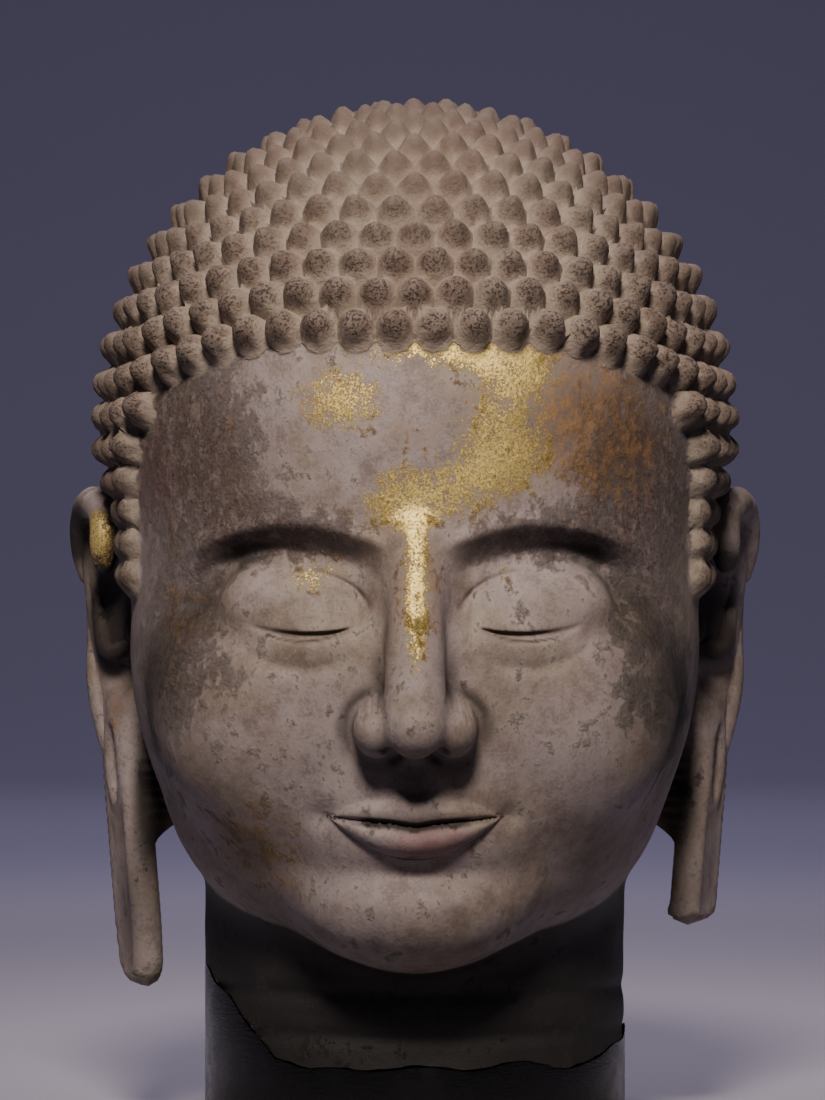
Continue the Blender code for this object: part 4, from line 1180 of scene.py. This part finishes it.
def gilded_stone(colours):
    """Fine-grained carved stone that was primed with ochre clay and gilded, then worn back. The hair is matt.

    The eye sees satin mauve-grey stone, a matt crumbling skin of clay and sooty crumbs, and broken gold leaf,
    with shade painted dark into its hollows, creases, ears, cheeks and neck."""
    made, tree, shader, place = new_material("gilded_stone")
    tall = add(tree, VECTOR, {**TIMES, 0: place, 1: (1.0, 1.0, 0.86)})
    # Clouding over 60 mm, stains over 16 mm, flakes over 6 mm, crumbs near 2 mm and grain near 1.5 mm
    cloud = add(tree, NOISE, {"Vector": place, "Scale": 16.0, "Detail": 5.0, "Roughness": 0.6})
    stain = add(tree, NOISE, {"Vector": tall, "Scale": 62.0, "Detail": 9.0, "Roughness": 0.7})
    flake = add(tree, NOISE, {"Vector": tall, "Scale": 160.0, "Detail": 8.0, "Roughness": 0.78})
    grain = add(tree, NOISE, {"Vector": place, "Scale": 650.0, "Detail": 5.0, "Roughness": 0.7})
    crumbs = add(tree, NOISE, {"Vector": place, "Scale": 480.0, "Detail": 5.0, "Roughness": 0.85})
    names = ("hollow", "neck", "hair", *PATCHES)
    hollow, neck, hair, near_gold, clay, crust, red, smoke = (
        add(tree, STORED, {"attribute_name": name}, "Fac") for name in names
    )
    # Bare stone, from mauve-grey to brown, with rubbed places and dirt in its pores and creases
    warm = add(tree, RANGE, {**SMOOTH, 0: cloud, 1: 0.40, 2: 0.60})
    rubbed = broken_up(tree, stain, ((flake, 0.4),), 0.68, 0.84, 0.6)
    pores = broken_up(tree, stain, ((grain, 0.5),), 0.78, 0.56, 0.55)
    # The crust: matt, darker and uneven
    crust = broken_up(tree, crust, ((stain, 2.0), (flake, 1.6)), 1.95, 2.55)
    crust_dirt = add(tree, RANGE, {**SMOOTH, 0: flake, 1: 0.62, 2: 0.44, 3: 0.25, 4: 0.85})
    crust_dirt = add(tree, MATH, {**TIMES, 0: crust, 1: crust_dirt})
    dark_crumbs = add(tree, RANGE, {**SMOOTH, 0: crumbs, 1: 0.48, 2: 0.38, 4: 0.8})
    dark_crumbs = add(tree, MATH, {**TIMES, 0: dark_crumbs, 1: crust})
    pale_crumbs = add(tree, RANGE, {**SMOOTH, 0: crumbs, 1: 0.56, 2: 0.66, 4: 0.5})
    pale_crumbs = add(tree, MATH, {**TIMES, 0: pale_crumbs, 1: crust})
    # Ochre clay in thin broken washes
    clay = broken_up(tree, clay, ((stain, 2.4), (flake, 1.8)), 2.45, 3.20, 0.72)
    clay_tone = add(tree, RANGE, {**SMOOTH, 0: flake, 1: 0.42, 2: 0.60})
    clay_tone = add(tree, MIX, {**TINT, 0: clay_tone, 6: colours.dark_clay, 7: colours.ochre_clay}, 2)
    red = broken_up(tree, red, ((stain, 1.6),), 0.95, 1.75, 0.5)
    # Painted shade: hollows and creases, the shade patches and the neck are darkened towards a near-black
    # brown, broken up by stains, and the neck is painted near black
    dirty = broken_up(tree, hollow, ((smoke, 0.7), (neck, 1.0), (stain, 0.5)), 0.40, 0.95, 0.92)
    shaded_neck = add(tree, MATH, {**TIMES, 0: neck, 1: 0.75})
    # Gold leaf, torn at its edges and rubbed through
    near_gold = add(tree, MATH, {"operation": "MINIMUM", 0: near_gold, 1: 1.2})
    bole = broken_up(tree, near_gold, ((flake, 2.0), (stain, 1.2)), 2.05, 2.75, 0.6)
    speck = add(tree, NOISE, {"Vector": place, "Scale": 900.0, "Detail": 3.0, "Roughness": 0.8})
    gold = broken_up(tree, near_gold, ((flake, 2.6), (stain, 1.4), (speck, 2.8)), 4.18, 4.40)
    in_reach = add(tree, RANGE, {**SMOOTH, 0: near_gold, 1: 0.08, 2: 0.28})
    gold = add(tree, MATH, {**TIMES, 0: gold, 1: in_reach})
    leaf = broken_up(tree, speck, ((near_gold, 0.25),), 0.64, 0.92)
    leaf = add(tree, MIX, {**TINT, 0: leaf, 6: colours.worn_gold, 7: colours.gold}, 2)
    # The hair starts along an uneven line
    hair = broken_up(tree, hair, ((stain, 0.6),), 0.50, 0.95)
    hair_tone, hair_relief = dusty_curls(tree, place, colours)
    tone = colours.cool_stone
    for mask, colour in (
        (warm, colours.warm_stone),
        (rubbed, colours.rubbed_stone),
        (pores, colours.pore_dirt),
        (crust_dirt, colours.crust),
        (dark_crumbs, colours.soot_and_shade),
        (pale_crumbs, colours.rubbed_stone),
        (clay, clay_tone),
        (red, colours.old_red),
        # The next two are painted shade
        (dirty, colours.soot_and_shade),
        (shaded_neck, colours.neck_shade),
        (bole, colours.gilders_clay),
        (gold, leaf),
        (hair, hair_tone),
    ):
        tone = add(tree, MIX, {**TINT, 0: mask, 6: tone, 7: colour}, 2)
    tree.links.new(tone, shader.inputs["Base Color"])
    bare = add(tree, MATH, {"operation": "SUBTRACT", 0: 1.0, 1: hair})
    metal = add(tree, MATH, {**TIMES, 0: gold, 1: 0.55})
    metal = add(tree, MATH, {**TIMES, 0: metal, 1: bare})
    tree.links.new(metal, shader.inputs["Metallic"])
    dull = add(tree, MATH, {**TIMES_PLUS, 0: crust, 1: 0.22, 2: 0.56})
    dull = add(tree, MATH, {**TIMES_PLUS, 0: grain, 1: 0.14, 2: dull})
    sheen = add(tree, MATH, {**TIMES_PLUS, 0: grain, 1: 0.24, 2: 0.30})
    rough = add(tree, MIX, {"data_type": "FLOAT", 0: gold, 2: dull, 3: sheen})
    rough = add(tree, MIX, {"data_type": "FLOAT", 0: hair, 2: rough, 3: 0.82})
    tree.links.new(rough, shader.inputs["Roughness"])
    shader.inputs["IOR"].default_value = 1.5
    # Relief in metres: at most 0.2 mm for the grain, 0.4 mm for flakes and 0.8 mm for stains. The crust
    # stands about 1 mm proud, in crumbs of 2 to 3 mm.
    shifted = add(tree, VECTOR, {**TIMES_PLUS, 0: flake, 1: (0.003, 0.003, 0.003), 2: place})
    split = add(tree, CELLS, {"Vector": shifted, "Scale": 330.0}, "Distance")
    split = add(tree, MATH, {**TIMES_PLUS, 0: crumbs, 1: 4.0, 2: split})
    split = add(tree, MATH, {**TIMES, 0: split, 1: crust})
    relief = 0.0
    depths = ((grain, 0.00022), (flake, 0.0004), (split, 0.00055), (stain, 0.0008), (gold, 0.0001))
    for noise, depth in depths:
        relief = add(tree, MATH, {**TIMES_PLUS, 0: noise, 1: depth, 2: relief})
    relief = add(tree, MIX, {"data_type": "FLOAT", 0: hair, 2: relief, 3: hair_relief})
    bumped = add(tree, "ShaderNodeBump", {"Strength": 1.0, "Distance": 1.0, "Height": relief})
    tree.links.new(bumped, shader.inputs["Normal"])
    return made


def fractured_stone(colours):
    """Stone where it broke, never rubbed down: matt, granular and paler than the weathered skin."""
    made, tree, shader, place = new_material("fractured_stone")
    # Lumps over 8 mm and grain near 1.5 mm
    lumps = add(tree, NOISE, {"Vector": place, "Scale": 120.0, "Detail": 8.0, "Roughness": 0.7})
    grain = add(tree, NOISE, {"Vector": place, "Scale": 700.0, "Detail": 5.0})
    pale = add(tree, RANGE, {**SMOOTH, 0: lumps, 1: 0.38, 2: 0.62})
    tone = add(tree, MIX, {**TINT, 0: pale, 6: colours.warm_stone, 7: colours.fresh_break}, 2)
    tree.links.new(tone, shader.inputs["Base Color"])
    shader.inputs["Roughness"].default_value = 0.9
    relief = add(tree, MATH, {**TIMES, 0: grain, 1: 0.0004})
    relief = add(tree, MATH, {**TIMES_PLUS, 0: lumps, 1: 0.0016, 2: relief})
    bumped = add(tree, "ShaderNodeBump", {"Strength": 1.0, "Distance": 1.0, "Height": relief})
    tree.links.new(bumped, shader.inputs["Normal"])
    return made


def black_lacquer(colours):
    """Carved hardwood under black satin lacquer.

    The eye sees near black with a soft sheen, pores drawn out round the block and a little dust."""
    made, tree, shader, place = new_material("black_lacquer")
    dust = add(tree, NOISE, {"Vector": place, "Scale": 90.0, "Detail": 8.0, "Roughness": 0.7})
    # Pores about 1 mm by 8 mm
    flat = add(tree, VECTOR, {**TIMES, 0: place, 1: (1.0, 1.0, 9.0)})
    pores = add(tree, NOISE, {"Vector": flat, "Scale": 110.0, "Detail": 5.0})
    dusty = add(tree, RANGE, {**SMOOTH, 0: dust, 1: 0.5, 2: 0.75, 4: 0.5})
    tone = add(tree, MIX, {**TINT, 0: dusty, 6: colours.lacquer, 7: colours.lacquer_dust}, 2)
    tree.links.new(tone, shader.inputs["Base Color"])
    rough = add(tree, RANGE, {**SMOOTH, 0: dust, 1: 0.35, 2: 0.7, 3: 0.22, 4: 0.36})
    tree.links.new(rough, shader.inputs["Roughness"])
    bumped = add(tree, "ShaderNodeBump", {"Strength": 0.5, "Distance": 0.0004, "Height": pores})
    tree.links.new(bumped, shader.inputs["Normal"])
    return made


def studio_paper(colours):
    """A seamless sheet of matt backdrop paper: one pale tone with no grain that shows."""
    made, _, shader, _ = new_material("studio_paper")
    shader.inputs["Base Color"].default_value = colours.backdrop
    shader.inputs["Roughness"].default_value = 0.95
    return made


# What a user can change


def length_property(name, description, default):
    return FloatProperty(name=name, description=description, default=default, unit="LENGTH")


class StoneHeadSizes(bpy.types.PropertyGroup):
    curl_pitch: length_property("Curl pitch", "Between the feet of two curls in a row", CURL_PITCH)
    curl_height: length_property("Curl height", "From a curl's foot to its tip", CURL_HEIGHT)
    stand_chamfer: length_property("Stand chamfer", "Bevel round the stand's foot", STAND_CHAMFER)


def colour_property(name, description, hex_colour):
    return FloatVectorProperty(
        name=name,
        description=description,
        default=(*linear(hex_colour), 1.0),
        size=4,
        subtype="COLOR",
        min=0.0,
        max=1.0,
    )


class StoneHeadColours(bpy.types.PropertyGroup):
    cool_stone: colour_property("Cool stone", "Mauve-grey of the smooth stone", "#948685")
    warm_stone: colour_property("Warm stone", "Brown cast of handled stone", "#85766c")
    rubbed_stone: colour_property("Rubbed stone", "Pale places that wear has rubbed", "#a3968f")
    pore_dirt: colour_property("Pore dirt", "Brown dirt in the pores", "#57473d")
    # Also the colour of the painted shade in hollows, creases, ears and cheeks
    soot_and_shade: colour_property("Soot", "Lamp smoke in creases and pits", "#241c1a")
    # Painted shade: the near black of the neck under the chin
    neck_shade: colour_property("Neck grime", "Black grime on the neck", "#0c0a0a")
    crust: colour_property("Crust", "Dark crust on the temples", "#5a4540")
    ochre_clay: colour_property("Ochre clay", "Clay laid under the gold", "#9c7038")
    dark_clay: colour_property("Dark clay", "The same clay, dirty", "#5f4836")
    old_red: colour_property("Old red", "Remains of red paint", "#7d4c52")
    gilders_clay: colour_property("Gilder's clay", "Yellow clay where the leaf is worn off", "#8b7343")
    gold: colour_property("Gold leaf", "Clean gold leaf", "#efd688")
    worn_gold: colour_property("Worn gold", "Gold leaf rubbed thin over its clay", "#b39350")
    dusty_hair: colour_property("Dusty hair", "Grey-brown of most curls", "#86786b")
    warm_hair: colour_property("Warm hair", "Browner curls", "#836e62")
    # Also the painted shade on each curl's tip
    dark_hair_and_shade: colour_property("Dark hair", "The dirtiest curls", "#5f4f47")
    # Painted shade in the deepest seams between the curls
    valley_shade: colour_property("Valley dirt", "Dirt between the curls", "#5a4a41")
    hair_dust: colour_property("Hair dust", "Pale dust on the curls", "#a09285")
    fresh_break: colour_property("Fresh break", "Stone that was never weathered", "#a3978c")
    lacquer: colour_property("Lacquer", "Black lacquer", "#040404")
    lacquer_dust: colour_property("Lacquer dust", "Dust on the lacquer", "#090808")
    backdrop: colour_property("Backdrop", "The studio's floor and wall", "#97949f")


# Operators


class CarveStoneHead(bpy.types.Operator):
    """Carve the stone head, with its curls, ears and broken neck"""

    bl_idname = "stone_head.carve"
    bl_label = "Carve Stone Head"

    def execute(self, context):
        sizes, colours = context.scene.stone_head_sizes, context.scene.stone_head_colours
        finishes = (gilded_stone(colours), fractured_stone(colours))
        pitch, height = sizes.curl_pitch / MODULE, sizes.curl_height / MODULE
        points, triangles, feet, frames = head_mesh(pitch, height)
        head = mesh_object("carved_head", to_metres(points), triangles, finishes)
        share = nearest_curl(points, feet, frames[0])[1] / (CURL_REACH * pitch)
        set_values(head.data, "hair", 1.0 - rise(share, 0.97, 1.10))
        for name, side, lowest in (("right_ear", -1.0, EAR_HEIGHTS[0]), ("left_ear", 1.0, EAR_BROKEN_Z)):
            points, triangles = ear_mesh(side, lowest)
            ear = mesh_object(name, to_metres(points), triangles, finishes)
            set_values(ear.data, "hair", np.zeros(len(points)))
            for number, roll in enumerate(EAR_ROLLS):
                points, triangles = ear_roll(roll, side)
                tube = mesh_object(f"{name}_roll_{number}", to_metres(points), triangles, finishes)
                combine(ear, tube, "UNION")
            combine(head, ear, "UNION")
        shares = (*BREAK_RINGS, BREAK_EDGE, STAND_SHARE, CUT_EDGE)
        points, faces = block_mesh(shares, ((CUT_EDGE, CUT_FOOT),), rough=True)
        combine(head, mesh_object("break_cutter", to_metres(points), faces, finishes), "DIFFERENCE")
        self.finish(head, pitch, feet, frames[0])
        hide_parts("stone_head")
        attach(head, "root")
        return {"FINISHED"}

    def finish(self, head, pitch, feet, axes):
        """Gives the broken faces their own finish and stores what the other finish reads."""
        mesh = head.data
        work = bmesh.new()
        work.from_mesh(mesh)
        bmesh.ops.triangulate(work, faces=[face for face in work.faces if len(face.verts) > 3])
        work.to_mesh(mesh)
        work.free()
        points = (points_of(mesh) - np.array((0.0, -NECK_CENTRE_Y * MODULE, SEAT_Z))) / MODULE
        number, distance = nearest_curl(points, feet, axes)
        share = distance / (CURL_REACH * pitch)
        set_values(mesh, "curl_out", np.clip(share, 0.0, 1.3))
        set_values(mesh, "curl_kind", lot(feet, 8)[number])
        flat = np.hypot(points[:, 0], points[:, 1] - NECK_CENTRE_Y)
        # The neck below the jaw, which the finish paints near black as the chin's shade
        set_values(mesh, "neck", rise(-flat, -23.8, -22.6) * rise(-points[:, 2], -24.0, -17.0))
        for name, patches in PATCHES.items():
            set_values(mesh, name, soft_spots(points, patches))
        if "hair" not in mesh.attributes:
            raise RuntimeError("the head lost the values that tell its hair from its face")
        # A place is hollow where the stone stands nearer to the air in front of it. The finish paints shade
        # into the hollows from this
        above = points + HOLLOW_DEPTH * outward(points)
        set_values(mesh, "hollow", np.clip(1.0 - head_distance(above) / HOLLOW_DEPTH, 0.0, 1.0))
        corners = np.empty(len(mesh.polygons) * 3, np.int32)
        mesh.polygons.foreach_get("vertices", corners)
        corners = corners.reshape(-1, 3)
        middle = points[corners].mean(axis=1)
        x, y, z = middle.T
        low = z < break_height(x, y) + 0.31
        normal = np.empty(len(mesh.polygons) * 3, np.float32)
        mesh.polygons.foreach_get("normal", normal)
        down = normal.reshape(-1, 3)[:, 2] < -0.25
        lobe_end = (x > 24.0) & (z < EAR_BROKEN_Z + 1.3) & down
        broken = (low & down) | lobe_end
        mesh.polygons.foreach_set("material_index", broken.astype(np.int32))
        mesh.polygons.foreach_set("use_smooth", np.ones(len(mesh.polygons), bool))
        mesh.set_sharp_from_angle(angle=STONE_CRISP)
        mesh.update()


class FinishStand(bpy.types.Operator):
    """Cut the stand's top to the break and lacquer it"""

    bl_idname = "stone_head.stand"
    bl_label = "Finish Stand"

    def execute(self, context):
        sizes, colours = context.scene.stone_head_sizes, context.scene.stone_head_colours
        chamfer = sizes.stand_chamfer / MODULE
        foot = -SEAT_Z / MODULE
        lower = (
            (STAND_SHARE, foot + chamfer),
            (STAND_SHARE - 0.3 * chamfer / NECK_HALF[1], foot + 0.3 * chamfer),
            (STAND_SHARE - chamfer / NECK_HALF[1], foot),
        )
        points, faces = block_mesh((*BREAK_RINGS, BREAK_EDGE, STAND_SHARE), lower, rough=False)
        points = to_metres(points)
        points[: 1 + BREAK_SIDES * (len(BREAK_RINGS) + 2), 2] -= SEAT_GAP
        stand = mesh_object("lacquered_stand", points, faces, (black_lacquer(colours),))
        mesh = stand.data
        mesh.polygons.foreach_set("use_smooth", np.ones(len(mesh.polygons), bool))
        mesh.set_sharp_from_angle(angle=STAND_CRISP)
        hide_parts("fitted_stand")
        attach(stand, "root")
        return {"FINISHED"}


class SetStudio(bpy.types.Operator):
    """Lay the floor, hang the lights and place the camera"""

    bl_idname = "stone_head.studio"
    bl_label = "Set Studio"

    def execute(self, context):
        scene = context.scene
        self.backdrop(scene.stone_head_colours)
        face, floor, wall = Vector((0.0, -0.08, 0.325)), Vector((0.0, 0.9, 0.0)), Vector((0.0, 5.0, 0.2))
        self.lamp("key_light", "SPOT", (-0.10, -1.77, 1.72), face, 300.0, "#fff4e8", 0.30, 21.5)
        self.lamp("front_fill", "AREA", (0.3, -2.6, 0.9), face, 0.7, "#f6f0ff", 1.4)
        self.lamp("left_rim", "AREA", (-1.6, -0.1, 1.0), face, 0.9, "#ece8ff", 0.6)
        self.lamp("right_rim", "AREA", (1.6, -0.2, 0.8), face, 0.8, "#ece8ff", 0.6)
        self.lamp("floor_light", "SPOT", (0.0, 0.8, 3.4), floor, 290.0, "#fbf0ff", 0.4, 62.0)
        self.lamp("wall_light", "SPOT", (0.0, 1.7, 3.4), wall, 330.0, "#e2dbff", 0.3, 112.0)
        world = bpy.data.worlds.new("studio_air")
        world.use_nodes = True
        world.node_tree.nodes["Background"].inputs["Color"].default_value = (*linear("#6f6a94"), 1.0)
        world.node_tree.nodes["Background"].inputs["Strength"].default_value = 0.03
        scene.world = world
        self.camera(scene)
        return {"FINISHED"}

    def backdrop(self, colours):
        """A sheet that lies flat, curves up behind the head and rises as a wall."""
        radius, wall_y, top, reach = 3.0, 7.6, 6.0, 8.0
        profile = [(-reach, 0.0), (wall_y - radius, 0.0)]
        for turn in np.radians(np.arange(7.5, 90.1, 7.5)):
            profile.append((wall_y - radius + radius * math.sin(turn), radius - radius * math.cos(turn)))
        profile.append((wall_y, top))
        points = [(x, y, z) for y, z in profile for x in (-reach, reach)]
        faces = [(2 * i, 2 * i + 1, 2 * i + 3, 2 * i + 2) for i in range(len(profile) - 1)]
        mesh = bpy.data.meshes.new("backdrop")
        mesh.from_pydata(points, [], faces)
        mesh.materials.append(studio_paper(colours))
        mesh.polygons.foreach_set("use_smooth", np.ones(len(faces), bool))
        sheet = bpy.data.objects.new("backdrop", mesh)
        bpy.context.scene.collection.objects.link(sheet)

    def lamp(self, name, kind, place, target, power, colour, size, cone=0.0):
        light = bpy.data.lights.new(name, kind)
        if kind == "AREA":
            light.shape = "SQUARE"
            light.size = size
        else:
            light.shadow_soft_size = size
            light.spot_size = math.radians(cone)
            light.spot_blend = 0.55 if cone < 60.0 else 1.0
        light.energy = power
        light.color = linear(colour)
        made = bpy.data.objects.new(name, light)
        made.location = place
        made.rotation_euler = (target - Vector(place)).to_track_quat("-Z", "Y").to_euler()
        bpy.context.scene.collection.objects.link(made)

    def camera(self, scene):
        lens = bpy.data.cameras.new("camera")
        lens.sensor_width = SENSOR_WIDTH
        lens.lens = SENSOR_WIDTH * CAMERA_DISTANCE / PICTURE_HEIGHT
        made = bpy.data.objects.new("camera", lens)
        made.location = (CAMERA_SIDE, -CAMERA_DISTANCE - NECK_CENTRE_Y * MODULE, CAMERA_HEIGHT)
        made.rotation_euler = (math.radians(90.0), 0.0, 0.0)
        scene.collection.objects.link(made)
        scene.camera = made


class StoneHeadPanel(bpy.types.Panel):
    """Sizes, colours and steps of the stone head"""

    bl_idname = "VIEW3D_PT_stone_head"
    bl_label = "Stone Head"
    bl_space_type = "VIEW_3D"
    bl_region_type = "UI"
    bl_category = "Stone Head"

    def draw(self, context):
        column = self.layout.column()
        for group in (context.scene.stone_head_sizes, context.scene.stone_head_colours):
            for name in group.__annotations__:
                column.prop(group, name)
        for step in STEPS:
            column.operator(step.bl_idname)


STEPS = (CarveStoneHead, FinishStand, SetStudio)
CLASSES = (StoneHeadSizes, StoneHeadColours, *STEPS, StoneHeadPanel)


def register():
    for kind in CLASSES:
        bpy.utils.register_class(kind)
    bpy.types.Scene.stone_head_sizes = PointerProperty(type=StoneHeadSizes)
    bpy.types.Scene.stone_head_colours = PointerProperty(type=StoneHeadColours)


def unregister():
    del bpy.types.Scene.stone_head_colours
    del bpy.types.Scene.stone_head_sizes
    for kind in reversed(CLASSES):
        bpy.utils.unregister_class(kind)


def main():
    register()
    bpy.ops.stone_head.carve()
    bpy.ops.stone_head.stand()
    bpy.ops.stone_head.studio()


if __name__ == "__main__":
    main()
